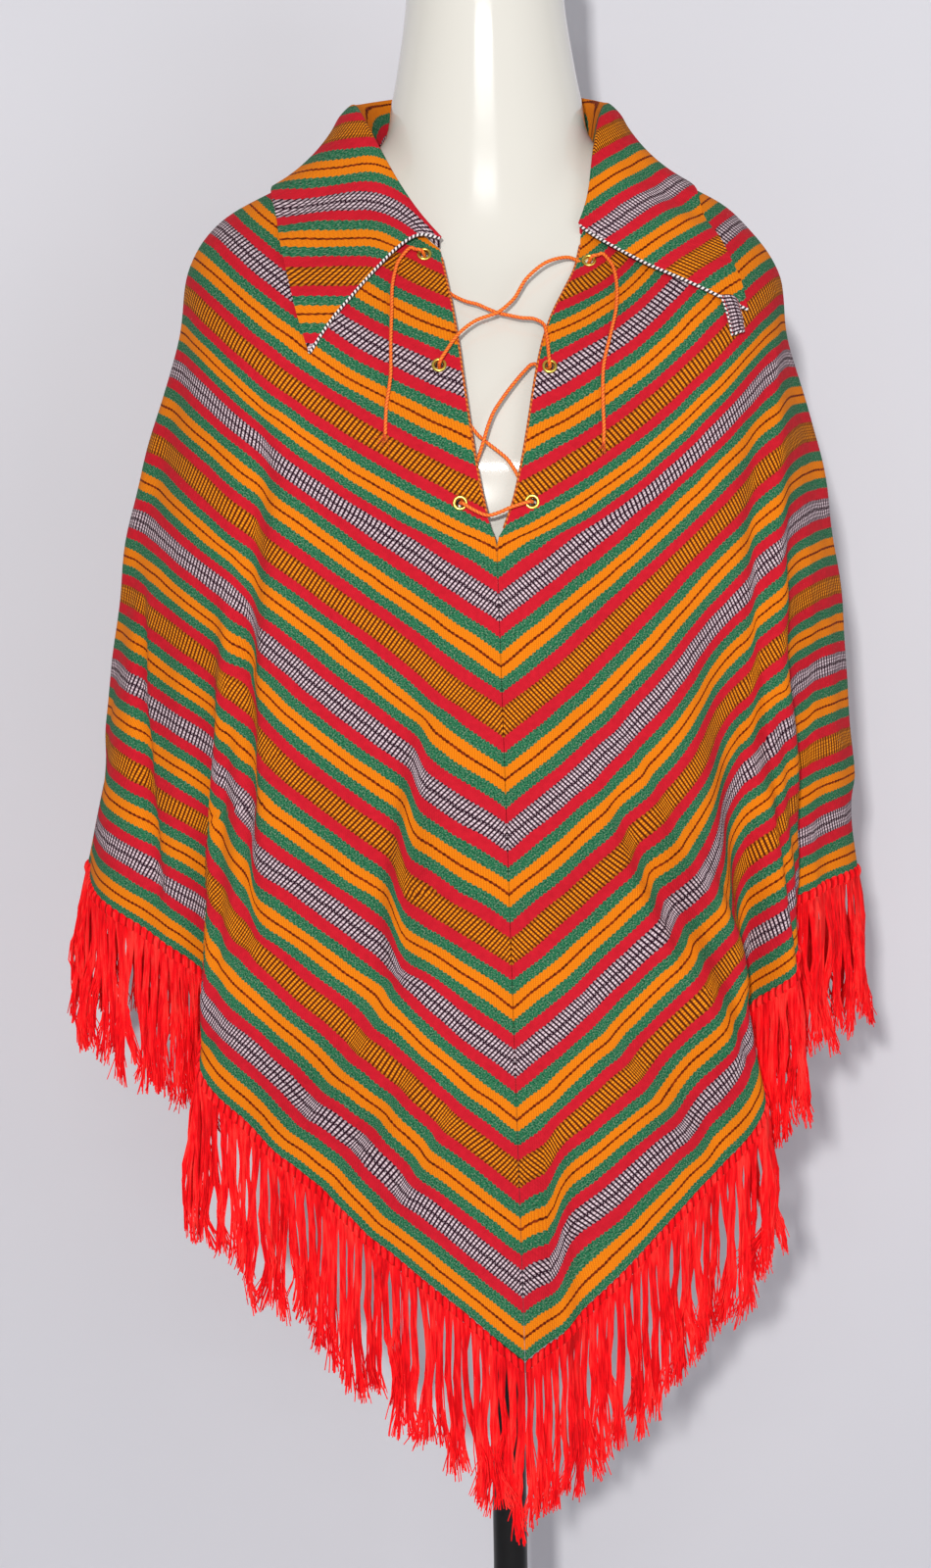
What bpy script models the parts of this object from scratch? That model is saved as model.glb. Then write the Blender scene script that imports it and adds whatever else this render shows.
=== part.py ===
"""Poncho of striped cloth with a laced neck slit, a long-pointed collar and a fringed hem, on a
limbless dress form with a pole stand. Metres, +Z up, front towards -Y, origin under the base."""

import math

import bmesh
import bpy
import numpy as np
from mathutils import Matrix, Vector

# Cut of one panel: a right-angled triangle with its hem as the long side and its tip cut off
# along the neck. The two equal sides are the seams at centre front and centre back.
CUT_DEPTH = 0.665
CUT_HALF_ANGLE = math.radians(45)
NECK_FRONT = 0.182
NECK_SIDE = 0.088
NECK_BACK = 0.120
CLOTH = 0.0016
GAP = 0.0003

# Slit at centre front, open at the neck: the height of its closed tip, and how far each edge
# spreads from the axis along its length and flares near the neck
SLIT_TIP = 1.172
SLIT_SPREAD = {-1: 0.0265, 1: 0.0425}
SLIT_FLARE = {-1: 0.0150, 1: 0.0040}
SPREAD_POWER = 0.6
FLARE_POWER = 6

# Distance that the front's seam drifts to the wearer's left between the slit and the hem, the
# height where that starts, the height over which it grows, and the depth over which it fades
SEAM_DRIFT = 0.012
DRIFT_TOP = 1.272
DRIFT_HEIGHT = 0.65
DRIFT_DEPTH = 0.14

# Draped form: how far each section of the cloth stands from the axis, and its height, at centre
# front, at each side and at centre back, and how square it is (2 is an ellipse)
SECTIONS = (
    # name, front_out, front_z, left_out, right_out, side_z, back_out, back_z, square
    ("neck", 0.068, 1.352, 0.088, 0.078, 1.447, 0.062, 1.462, 2.00),
    ("yoke", 0.088, 1.318, 0.142, 0.130, 1.418, 0.088, 1.425, 2.12),
    ("shoulder", 0.106, 1.280, 0.186, 0.172, 1.393, 0.106, 1.382, 2.25),
    ("cap", 0.119, 1.238, 0.209, 0.198, 1.356, 0.118, 1.332, 2.38),
    ("chest", 0.130, 1.180, 0.215, 0.204, 1.305, 0.126, 1.270, 2.45),
    ("bust", 0.136, 1.110, 0.238, 0.220, 1.228, 0.130, 1.190, 2.42),
    ("waist", 0.140, 1.010, 0.262, 0.233, 1.115, 0.135, 1.080, 2.38),
    ("hip", 0.142, 0.870, 0.288, 0.240, 0.990, 0.138, 0.950, 2.34),
    ("low", 0.140, 0.690, 0.314, 0.247, 0.860, 0.140, 0.770, 2.30),
    ("end", 0.136, 0.490, 0.335, 0.253, 0.720, 0.140, 0.560, 2.30),
)

# Hanging folds that take up the width the cut has and the body does not. The centre and the
# half width are fractions of the panel from centre front to centre back.
FULL_EXCESS = 0.34
# Largest value of the curve that a fold follows, t * (1 - t * t) ** 1.5
FOLD_POWER = 1.5
FOLD_PEAK = 0.325
FOLDS = (
    # side, centre, half_width, share, depth
    (-1, 0.245, 0.096, 0.40, 0.015),
    (-1, 0.450, 0.090, 0.14, 0.008),
    (-1, 0.640, 0.080, 0.20, 0.012),
    (-1, 0.810, 0.080, 0.26, 0.014),
    (1, 0.190, 0.086, 0.25, 0.012),
    (1, 0.325, 0.082, 0.23, 0.013),
    (1, 0.510, 0.090, 0.10, 0.008),
    (1, 0.670, 0.075, 0.19, 0.012),
    (1, 0.820, 0.075, 0.22, 0.013),
)

# Collar: for each place along the neck, from the front end to centre back, where its outer edge
# lies on the panel, how the line to it bends, how high it stands, and how far its edge stays
# off the cloth
COLLAR_SEAM = 0.0012
COLLAR_STAND_INSET = 0.0022
# Rows across the collar, as shares of the stand's height and of the way from roll to edge
COLLAR_STAND_PARTS = (0.0, 0.5, 0.88)
COLLAR_FALL_PARTS = (0.05, 0.20, 0.40, 0.60, 0.80, 1.0)
COLLAR_BOW = 1.6
# How far the stand turns from square to the cloth, 0, to straight up, 1
COLLAR_UPRIGHT = 0.5
COLLAR_ROLL_INSET = 0.0012
COLLAR_ROLL_RISE = 1.05
# How fast the collar comes down to the cloth from its roll: larger is faster
COLLAR_SETTLE = 2.2
COLLAR = {
    -1: (
        # along_neck, edge_along, edge_down, bend, stand, edge_lift
        (0.00, 0.180, 0.138, 0.42, 0.007, 0.0045),
        (0.12, 0.235, 0.105, 0.80, 0.012, 0.0040),
        (0.25, 0.330, 0.080, 1.00, 0.018, 0.0040),
        (0.40, 0.450, 0.067, 1.00, 0.024, 0.0042),
        (0.60, 0.600, 0.064, 1.00, 0.029, 0.0045),
        (0.80, 0.800, 0.070, 1.00, 0.032, 0.0045),
        (1.00, 1.000, 0.072, 1.00, 0.032, 0.0045),
    ),
    1: (
        (0.00, 0.300, 0.165, 0.65, 0.007, 0.0080),
        (0.12, 0.305, 0.130, 0.80, 0.012, 0.0060),
        (0.25, 0.320, 0.092, 1.00, 0.018, 0.0050),
        (0.40, 0.430, 0.062, 1.00, 0.024, 0.0042),
        (0.60, 0.580, 0.056, 1.00, 0.029, 0.0045),
        (0.80, 0.800, 0.068, 1.00, 0.032, 0.0045),
        (1.00, 1.000, 0.072, 1.00, 0.032, 0.0045),
    ),
}

# Eyelets, from the top: distance down the slit, which starts higher at the wearer's left, and in
# from its edge
SLIT_STAGGER = 0.004
EYELET_DOWN = {-1: (0.015, 0.097, 0.191), 1: (0.029, 0.112, 0.206)}
EYELET_IN = {-1: (0.016, 0.016, 0.016), 1: (0.013, 0.009, 0.013)}
EYELET_HOLE = 0.0028
EYELET_OUTER = 0.0050
EYELET_BARREL = 0.0036
EYELET_FLANGE = 0.0008
CLOTH_HOLE = 0.0043
EYELET_SEAT = 0.0005

# Fringe: a narrow heading under the hem with the strands hanging from it
FRINGE_STRANDS = 78
HEADING_HEIGHT = 0.006
HEADING_DEPTH = 0.0014
HEADING_SEAM = 0.0008
SAME_STOP = 0.0010
STRAND_SIDE_LENGTH = 0.102
STRAND_POINT_LENGTH = 0.122
STRAND_SHARE = 0.58
STRAND_TAPER = 0.55
STRAND_LEAN = 0.018
# Where the hem climbs more steeply than this, inside a fold, the heading bears no strand
STRAND_STEEP = 0.85

# Dress form, below the shoulders: its height, half width, front depth, back depth and squareness
FORM_ROWS = (
    # name, z, half_width, front, back, square
    ("foot", 0.800, 0.158, 0.098, 0.112, 2.2),
    ("hip", 0.830, 0.166, 0.104, 0.118, 2.2),
    ("high_hip", 0.930, 0.158, 0.098, 0.110, 2.2),
    ("waist", 1.030, 0.122, 0.084, 0.084, 2.1),
    ("ribs", 1.120, 0.136, 0.100, 0.096, 2.2),
    ("bust", 1.200, 0.156, 0.111, 0.104, 2.3),
    ("armhole", 1.270, 0.168, 0.103, 0.106, 2.4),
)
FORM_NECK = (
    # name, front_z, side_z, half_width, front, back
    ("neck_foot", 1.368, 1.446, 0.0735, 0.0570, 0.0530),
    ("neck_low", 1.430, 1.474, 0.0660, 0.0520, 0.0500),
    ("neck_bend", 1.485, 1.505, 0.0600, 0.0500, 0.0500),
    ("neck_middle", 1.545, 1.545, 0.0545, 0.0500, 0.0500),
    ("neck_top", 1.600, 1.600, 0.0530, 0.0500, 0.0500),
)
# Rings of the form's shoulders: the section each follows, and how far under the cloth it lies at
# the side, the front and the back
FORM_SHOULDER = (
    # section, side, front, back
    (3.3, 0.0090, 0.0100, 0.0080),
    (2.7, 0.0050, 0.0100, 0.0060),
    (2.0, 0.0024, 0.0100, 0.0040),
    (1.3, 0.0024, 0.0100, 0.0040),
    (0.6, 0.0040, 0.0090, 0.0050),
)
FORM_SIDES = 32

POLE_RADIUS = 0.0125
BASE_RADIUS = 0.160
BASE_HEIGHT = 0.010
CAP_RADIUS = 0.050
CAP_HEIGHT = 0.012

# Lace: a round cord through the eyelets, with two free ends. Each point lies on a panel, given by
# its side, the ray, the distance down it and the height over the cloth's middle, or across the
# slit, given by the distance down, the share of the way from left to right and the height.
LACE_RADIUS = 0.00135
LACE_STEP = 0.0085
LACE_OVER = 0.0032
# How far the lace stands off an eyelet's middle on its way in and out, and to the side
LACE_FRONT_RISE = 0.0046
LACE_BACK_RISE = 0.0040
LACE_ASIDE = 0.0021
LEFT_END = (
    # ray, down
    (0.086, 0.163),
    (0.083, 0.143),
    (0.078, 0.121),
    (0.080, 0.097),
    (0.084, 0.074),
    (0.089, 0.055),
    (0.086, 0.036),
    (0.070, 0.021),
)
RIGHT_END = (
    (0.065, 0.036),
    (0.086, 0.052),
    (0.098, 0.072),
    (0.098, 0.094),
    (0.088, 0.112),
    (0.078, 0.131),
    (0.077, 0.153),
    (0.080, 0.176),
    (0.081, 0.186),
)
# Crossings of the open slit, in the order that the lace runs
FROM_LEFT_TOP = (
    # down, share, height
    (0.036, 0.02, -0.0030),
    (0.046, 0.23, -0.0010),
    (0.055, 0.43, -0.0012),
    (0.062, 0.68, 0.0010),
    (0.070, 0.94, 0.0030),
)
FROM_RIGHT_MIDDLE = (
    (0.101, 0.94, -0.0030),
    (0.112, 0.70, -0.0005),
    (0.130, 0.38, 0.0010),
    (0.146, 0.20, 0.0018),
    (0.158, 0.02, -0.0044),
)
BAR = (
    (0.1945, 0.00, 0.0040),
    (0.2010, 1.00, 0.0040),
)
FROM_RIGHT_BOTTOM = (
    (0.180, 0.98, -0.0030),
    (0.163, 0.62, -0.0022),
    (0.146, 0.20, -0.0020),
    (0.131, -0.02, -0.0030),
)
FROM_LEFT_MIDDLE = (
    (0.068, 0.02, 0.0034),
    (0.059, 0.23, 0.0024),
    (0.055, 0.43, 0.0022),
    (0.044, 0.57, 0.0020),
    (0.030, 0.63, 0.0015),
    (0.017, 0.76, 0.0000),
    (0.013, 0.95, -0.0030),
)

# Steps of the surface that the panels are read from, and of the panels themselves
LEVEL_STEPS = 180
COLUMN_STEPS = 240
LOOP_POINTS = 241
PANEL_ROWS = 15
PANEL_COLUMNS = 50


def smooth_rows(table, level):
    """Values of a table between its rows, on a smooth curve through them."""
    rows = np.array([row[1:] for row in table])
    level = np.clip(np.asarray(level, float), 0, len(rows) - 1)
    low = np.clip(level.astype(int), 0, len(rows) - 2)
    part = (level - low)[..., None]
    p0 = rows[np.maximum(low - 1, 0)]
    p1 = rows[low]
    p2 = rows[low + 1]
    p3 = rows[np.minimum(low + 2, len(rows) - 1)]
    linear = (p2 - p0) * part
    square = (2 * p0 - 5 * p1 + 4 * p2 - p3) * part**2
    cube = (3 * p1 - p0 - 3 * p2 + p3) * part**3
    return 0.5 * (2 * p1 + linear + square + cube)


def unit(vectors):
    return vectors / np.maximum(np.linalg.norm(vectors, axis=-1, keepdims=True), 1e-9)


def grid_normals(points):
    """Normals of a grid whose rows run down and whose columns run from front to back."""
    return unit(np.cross(np.gradient(points, axis=1), np.gradient(points, axis=0)))


def ease(value):
    value = np.clip(value, 0, 1)
    return value * value * (3 - 2 * value)


def section_loops(side, levels):
    """Each section of one half, from centre front round the side to centre back."""
    values = smooth_rows(SECTIONS, levels)[..., None]
    front_out, front_z, left_out, right_out, side_z, back_out, back_z, square = np.moveaxis(values, 1, 0)
    angle = np.linspace(0, math.pi, LOOP_POINTS)[None, :]
    along = np.cos(angle)
    across = np.sin(angle)
    reach = left_out if side < 0 else right_out
    x = side * reach * np.abs(across) ** (2 / square)
    y = -np.where(along > 0, front_out, back_out) * np.sign(along) * np.abs(along) ** (2 / square)
    z = side_z + (np.where(along > 0, front_z, back_z) - side_z) * along**2
    return np.stack([x + 0 * z, y + 0 * z, z + 0 * x], axis=-1)


def slit_gap(side, z):
    """How far one edge of the open slit stands from the axis at a height."""
    top = SECTIONS[0][2] + 0.02
    part = np.clip((z - SLIT_TIP) / (top - SLIT_TIP), 0, 1)
    return SLIT_SPREAD[side] * part**SPREAD_POWER + SLIT_FLARE[side] * part**FLARE_POWER


def neck_distance(angle):
    """Flat distance from the cut-off tip to the neck edge, along a ray of the cut."""
    part = np.abs(angle) / CUT_HALF_ANGLE
    end = np.where(angle < 0, NECK_FRONT, NECK_BACK)
    return NECK_SIDE + (end - NECK_SIDE) * part**2


def draped_panel(side):
    """The middle of one panel's cloth, as points on a grid of sections and rays of the cut, and
    the flat distance of each from the cut-off tip."""
    levels = np.linspace(0, len(SECTIONS) - 1, LEVEL_STEPS + 1)
    rays = np.linspace(0, 1, COLUMN_STEPS + 1)
    angles = (2 * rays - 1) * CUT_HALF_ANGLE
    loops = section_loops(side, levels)
    outward = -grid_normals(loops) * side
    steps = np.linalg.norm(np.diff(loops, axis=1), axis=-1)
    lengths = np.concatenate([np.zeros((len(levels), 1)), np.cumsum(steps, axis=1)], axis=1)
    starts = np.empty(len(levels))
    for i, loop in enumerate(loops):
        gap = slit_gap(side, loop[0, 2])
        starts[i] = np.interp(gap, np.abs(loop[: LOOP_POINTS // 2, 0]), lengths[i, : LOOP_POINTS // 2])

    def lay(places):
        points = np.empty((len(levels), len(rays), 3))
        normals = np.empty_like(points)
        for i in range(len(levels)):
            for axis in range(3):
                points[i, :, axis] = np.interp(places[i], lengths[i], loops[i, :, axis])
                normals[i, :, axis] = np.interp(places[i], lengths[i], outward[i, :, axis])
        return points, unit(normals)

    def flat_distance(points):
        steps = np.linalg.norm(np.diff(points, axis=0), axis=-1)
        return neck_distance(angles) + np.concatenate([np.zeros((1, len(rays))), np.cumsum(steps, axis=0)])

    room = lengths[:, -1] - starts
    points, _ = lay(starts[:, None] + room[:, None] * rays)
    distance = flat_distance(points)
    widths = 0.5 * (distance[:, 1:] + distance[:, :-1]) * np.diff(angles)
    cloth = np.concatenate([np.zeros((len(levels), 1)), np.cumsum(widths, axis=1)], axis=1)
    excess = np.maximum(cloth[:, -1] - room, 0)
    stretch = np.where(excess > 0, 1, room / cloth[:, -1])
    places = starts[:, None] + cloth * stretch[:, None]
    relief = np.zeros_like(places)
    growth = excess / FULL_EXCESS
    for fold_side, centre, half_width, share, depth in FOLDS:
        if fold_side == side:
            across = (rays - centre) / half_width
            inside = np.clip(1 - across**2, 0, 1)
            places -= excess[:, None] * share * ease((across + 1) / 2)
            relief -= growth[:, None] * depth * across * inside**FOLD_POWER / FOLD_PEAK
    points, normals = lay(places)
    points = points + normals * relief[..., None]
    fall = np.clip((DRIFT_TOP - points[..., 2]) / DRIFT_HEIGHT, 0, 1)
    facing = np.clip(-points[..., 1] / DRIFT_DEPTH, 0, 1)
    points[..., 0] += SEAM_DRIFT * fall * facing + side * GAP / 2
    return {"side": side, "points": points, "distance": flat_distance(points), "angles": angles, "rays": rays}


def read_ray(panel, ray, part=None, down=None):
    """Points on one ray of the cut, at parts of the way from neck to hem or distances from the neck."""
    place = np.clip(ray, 0, 1) * COLUMN_STEPS
    low = min(int(place), COLUMN_STEPS - 1)
    mix = place - low
    column = panel["points"][:, low] * (1 - mix) + panel["points"][:, low + 1] * mix
    distance = panel["distance"][:, low] * (1 - mix) + panel["distance"][:, low + 1] * mix
    angle = (2 * ray - 1) * CUT_HALF_ANGLE
    if down is None:
        down = np.asarray(part) * (CUT_DEPTH / math.cos(angle) - distance[0])
    wanted = distance[0] + np.asarray(down)
    return np.stack([np.interp(wanted, distance, column[:, axis]) for axis in range(3)], axis=-1)


def panel_frame(panel, ray, down, step=0.003):
    """A point on the panel, its outward normal and the direction down its ray."""
    point = read_ray(panel, ray, down=down)
    low = max(down - step, 0)
    fall = unit(read_ray(panel, ray, down=low + 2 * step) - read_ray(panel, ray, down=low))
    ahead = read_ray(panel, min(ray + 0.01, 1), down=down)
    behind = read_ray(panel, max(ray - 0.01, 0), down=down)
    return point, -unit(np.cross(ahead - behind, fall)) * panel["side"], fall


def material(name, colour, roughness, metallic=0.0):
    made = bpy.data.materials.new(name)
    made.use_nodes = True
    shader = made.node_tree.nodes["Principled BSDF"]
    shader.inputs["Base Color"].default_value = (*colour, 1)
    shader.inputs["Roughness"].default_value = roughness
    shader.inputs["Metallic"].default_value = metallic
    made.diffuse_color = (*colour, 1)
    return made


def add_mesh(name, points, faces, look):
    """One closed object, with its faces turned outward."""
    mesh = bpy.data.meshes.new(name)
    mesh.from_pydata([tuple(point) for point in points], [], faces)
    work = bmesh.new()
    work.from_mesh(mesh)
    bmesh.ops.recalc_face_normals(work, faces=work.faces)
    work.to_mesh(mesh)
    work.free()
    mesh.materials.append(look)
    mesh.shade_smooth()
    mesh.set_sharp_from_angle(angle=math.radians(50))
    made = bpy.data.objects.new(name, mesh)
    bpy.context.scene.collection.objects.link(made)
    return made


def add_wall(name, middle, normals, thickness, look):
    """A sheet of even thickness round a grid of middle points. Both faces are split alike."""
    rows, columns = middle.shape[:2]
    outer = middle + normals * thickness / 2
    inner = middle - normals * thickness / 2
    points = np.concatenate([outer.reshape(-1, 3), inner.reshape(-1, 3)])
    count = rows * columns
    faces = []
    for r in range(rows - 1):
        for c in range(columns - 1):
            a, b = r * columns + c, r * columns + c + 1
            d, e = a + columns, b + columns
            faces += [(a, b, e), (a, e, d)]
            faces += [(count + a, count + e, count + b), (count + a, count + d, count + e)]
    rim = [r * columns for r in range(rows)]
    rim += [(rows - 1) * columns + c for c in range(1, columns)]
    rim += [r * columns + columns - 1 for r in range(rows - 2, -1, -1)]
    rim += [c for c in range(columns - 2, 0, -1)]
    for a, b in zip(rim, rim[1:] + rim[:1]):
        faces += [(a, b, count + b), (a, count + b, count + a)]
    return add_mesh(name, points, faces, look)


def panel_columns(side):
    """Places of the panel's columns, closer together in the folds."""
    fine = np.linspace(0, 1, 2001)
    weight = np.ones_like(fine)
    for fold_side, centre, half_width, _, depth in FOLDS:
        if fold_side == side:
            near = np.clip(1 - ((fine - centre) / (half_width * 1.15)) ** 2, 0, 1)
            weight += 130 * depth * near
    total = np.concatenate([[0], np.cumsum(0.5 * (weight[1:] + weight[:-1]))])
    return np.interp(np.linspace(0, total[-1], PANEL_COLUMNS + 1), total, fine)


def panel_grid(panel):
    """Middle points and normals of one panel, on the columns and rows that the solid uses."""
    places = panel_columns(panel["side"])
    even = np.linspace(0, 1, PANEL_ROWS + 1)
    parts = even * (0.5 + 0.5 * even)
    middle = np.stack([read_ray(panel, place, part=parts) for place in places], axis=1)
    normals = -grid_normals(middle) * panel["side"]
    below = middle[:, 0, 2] < SLIT_TIP - 0.002
    normals[below, 0, 0] = 0
    normals[:, -1, 0] = 0
    return places, middle, unit(normals)


def cutter(name, place, axis, radius, height):
    """A short cylinder that only cuts."""
    work = bmesh.new()
    bmesh.ops.create_cone(work, cap_ends=True, segments=12, radius1=radius, radius2=radius, depth=height)
    mesh = bpy.data.meshes.new(name)
    work.to_mesh(mesh)
    work.free()
    made = bpy.data.objects.new(name, mesh)
    made.matrix_world = turned(place, axis)
    made.hide_render = True
    made.display_type = "WIRE"
    bpy.context.scene.collection.objects.link(made)
    return made


def turned(place, axis):
    """A matrix that carries +Z to an axis at a place."""
    return Matrix.Translation(Vector(place)) @ Vector(axis).to_track_quat("Z", "Y").to_matrix().to_4x4()


def add_turned(name, profile, sides, look, place=(0, 0, 0), axis=(0, 0, 1), closed=True):
    """A profile of (radius, height) pairs turned round an axis: a ring, or a solid between caps."""
    points = []
    for radius, height in profile:
        for i in range(sides):
            angle = 2 * math.pi * i / sides
            points.append((radius * math.cos(angle), radius * math.sin(angle), height))
    faces = []
    rings = len(profile)
    for r in range(rings if closed else rings - 1):
        for i in range(sides):
            a, b = r * sides + i, r * sides + (i + 1) % sides
            c, d = (r + 1) % rings * sides + i, (r + 1) % rings * sides + (i + 1) % sides
            faces.append((a, b, d, c))
    if not closed:
        faces.append(tuple(range(sides)))
        faces.append(tuple(range((rings - 1) * sides, rings * sides)))
    made = add_mesh(name, points, faces, look)
    made.matrix_world = turned(place, axis)
    return made


def eyelet_frame(panel, row):
    """Centre and outward direction of an eyelet, on the flat facet of the cloth there."""
    down = EYELET_DOWN[panel["side"]][row]
    edge = read_ray(panel, 0, down=down)
    ray = 0.01
    while np.linalg.norm(read_ray(panel, ray, down=down) - edge) < EYELET_IN[panel["side"]][row]:
        ray += 0.002
    centre, normal, _ = panel_frame(panel, ray, down, step=0.02)
    return centre, normal


def make_panel(panel, name, look):
    _, middle, normals = panel_grid(panel)
    made = add_wall(name, middle, normals, CLOTH, look)
    for row in range(len(EYELET_DOWN[panel["side"]])):
        centre, normal = eyelet_frame(panel, row)
        cut = made.modifiers.new(f"eyelet_hole_{row}", "BOOLEAN")
        cut.operation = "DIFFERENCE"
        cut.object = cutter(f"{name}_hole_{row}", centre, normal, CLOTH_HOLE, 0.012)
    return made


def make_eyelets(panel, prefix, look):
    seat = CLOTH / 2 + EYELET_SEAT
    profile = (
        (EYELET_HOLE, seat + EYELET_FLANGE),
        (EYELET_OUTER - 0.0004, seat + EYELET_FLANGE),
        (EYELET_OUTER, seat),
        (EYELET_BARREL, seat),
        (EYELET_BARREL, -seat),
        (EYELET_HOLE, -seat),
    )
    for row, place in enumerate(("top", "middle", "bottom")):
        centre, normal = eyelet_frame(panel, row)
        add_turned(f"{prefix}_{place}", profile, 12, look, centre, normal)


def collar_column(panel, row):
    """Middle points across the collar at one place along the neck, from its seam to its edge."""
    along, edge_along, edge_down, bend, stand, lift = row
    neck, normal, fall = panel_frame(panel, along, 0.0)
    inset = COLLAR_SEAM + CLOTH / 2
    rise = unit(normal * (1 - COLLAR_UPRIGHT) + np.array((0, 0, COLLAR_UPRIGHT)))
    points = []
    for part in COLLAR_STAND_PARTS:
        bow = COLLAR_STAND_INSET * math.sin(math.pi * part / COLLAR_BOW)
        points.append(neck - fall * (inset + bow) + rise * stand * part)
    points.append(neck - fall * COLLAR_ROLL_INSET + rise * stand * COLLAR_ROLL_RISE)
    for part in COLLAR_FALL_PARTS:
        ray = along + (edge_along - along) * part**bend
        foot, out, _ = panel_frame(panel, ray, edge_down * part)
        height = lift + (stand - lift) * (1 - part) ** COLLAR_SETTLE
        points.append(foot + out * height)
    return np.array(points)


def collar_half(panel, columns):
    rows = np.array(COLLAR[panel["side"]])
    made = []
    for place in columns:
        values = [np.interp(place, rows[:, 0], rows[:, i]) for i in range(1, 6)]
        made.append(collar_column(panel, (place, *values)))
    return np.stack(made, axis=1)


def make_collar(left, right, look):
    """One collar from the left front end round the neck to the right front end."""
    columns = np.linspace(0, 1, 15) ** 0.9
    half = collar_half(left, columns)
    other = collar_half(right, columns)[:, ::-1]
    joined = (half[:, -1:] + other[:, :1]) / 2
    middle = np.concatenate([half[:, :-1], joined, other[:, 1:]], axis=1)
    normals = -grid_normals(middle)
    add_wall("collar", middle, normals, CLOTH, look)


def fringe_stops(along):
    """Places along the hem where the heading has a section: at each bend of the hem and at both
    edges of each strand. The first and last section of each strand come with them."""
    pitch = along[-1] / FRINGE_STRANDS
    starts = (np.arange(FRINGE_STRANDS) + (1 - STRAND_SHARE) / 2) * pitch
    edges = np.concatenate([starts, starts + STRAND_SHARE * pitch])
    for bend in along[1:-1]:
        nearest = np.argmin(np.abs(edges - bend))
        if abs(edges[nearest] - bend) < SAME_STOP:
            edges[nearest] = bend
    stops = np.unique(np.concatenate([along, edges]))
    places = np.searchsorted(stops, edges)
    return stops, places[:FRINGE_STRANDS], places[FRINGE_STRANDS:]


def past_hem(panel, rays, beyond):
    """Points a distance past the hem, on the cloth's surface carried on below it."""
    points = []
    for ray in rays:
        angle = (2 * ray - 1) * CUT_HALF_ANGLE
        down = (CUT_DEPTH + beyond) / math.cos(angle) - float(neck_distance(angle))
        points.append(read_ray(panel, ray, down=down))
    return np.array(points)


def make_fringe(panel, name, look):
    """The heading under one panel's hem, with its strands drawn out of its lower edge."""
    rays, middle, _ = panel_grid(panel)
    rows = [middle[-1]]
    rows += [past_hem(panel, rays, beyond) for beyond in (HEADING_SEAM, HEADING_SEAM + HEADING_HEIGHT)]
    out = -grid_normals(np.stack(rows)) * panel["side"]
    out[:, (0, -1), 0] = 0
    along = np.concatenate([[0], np.cumsum(np.linalg.norm(np.diff(rows[0], axis=0), axis=1))])
    stops, firsts, lasts = fringe_stops(along)

    def at(values):
        return np.stack([np.interp(stops, along, values[:, i]) for i in range(values.shape[1])], axis=1)

    top, foot = at(rows[1]), at(rows[2])
    top_side = unit(at(out[1])) * HEADING_DEPTH / 2
    foot_side = unit(at(out[2])) * HEADING_DEPTH / 2
    pointed = at(np.abs(2 * rays - 1)[:, None] ** 3)[:, 0]
    count = len(stops)
    points = [*(top + top_side), *(top - top_side), *(foot + foot_side), *(foot - foot_side)]
    last = count - 1
    faces = [(0, count, 3 * count, 2 * count), (last, last + count, last + 3 * count, last + 2 * count)]
    for i in range(last):
        a, b = i, i + 1
        faces.append((a, b, count + b, count + a))
        faces.append((a, 2 * count + a, 2 * count + b, b))
        faces.append((count + a, count + b, 3 * count + b, 3 * count + a))
    steep = np.abs(foot[lasts, 2] - foot[firsts, 2]) > STRAND_STEEP * (stops[lasts] - stops[firsts])
    strands = [(low, high) for low, high, left_out in zip(firsts, lasts, steep) if not left_out]
    ends = [0, *[high for _, high in strands]]
    starts = [*[low for low, _ in strands], last]
    for low, high in zip(ends, starts):
        for a in range(low, high):
            faces.append((2 * count + a, 2 * count + a + 1, 3 * count + a + 1, 3 * count + a))
    for strand, (low, high) in enumerate(strands):
        root = [2 * count + a for a in range(low, high + 1)]
        root += [3 * count + a for a in range(high, low - 1, -1)]
        length = STRAND_SIDE_LENGTH + (STRAND_POINT_LENGTH - STRAND_SIDE_LENGTH) * pointed[low]
        corners = [Vector(points[k]) for k in root]
        centre = sum(corners, Vector()) / len(corners)
        lean = -STRAND_LEAN * Vector((centre.x, centre.y, 0)).normalized()
        sway = lean + Vector((0.002 * math.sin(1.9 * strand), 0.001 * math.sin(2.7 * strand), -length))
        tip = len(points)
        points += [centre + (corner - centre) * STRAND_TAPER + sway for corner in corners]
        for k in range(len(root)):
            after = (k + 1) % len(root)
            faces.append((root[k], root[after], tip + after, tip + k))
        faces.append(tuple(range(tip, tip + len(root))))
    add_mesh(name, points, faces, look)


def ring(half_width, front, back, square, side_z, front_z):
    """One ring of the form, as a rounded loop that may dip towards the front."""
    points = []
    for i in range(FORM_SIDES):
        angle = 2 * math.pi * i / FORM_SIDES
        x = half_width * math.copysign(abs(math.sin(angle)) ** (2 / square), math.sin(angle))
        depth = front if math.cos(angle) > 0 else back
        y = -depth * math.copysign(abs(math.cos(angle)) ** (2 / square), math.cos(angle))
        dip = max(math.cos(angle), 0) ** 2
        points.append((x, y, side_z + (front_z - side_z) * dip))
    return points


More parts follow.
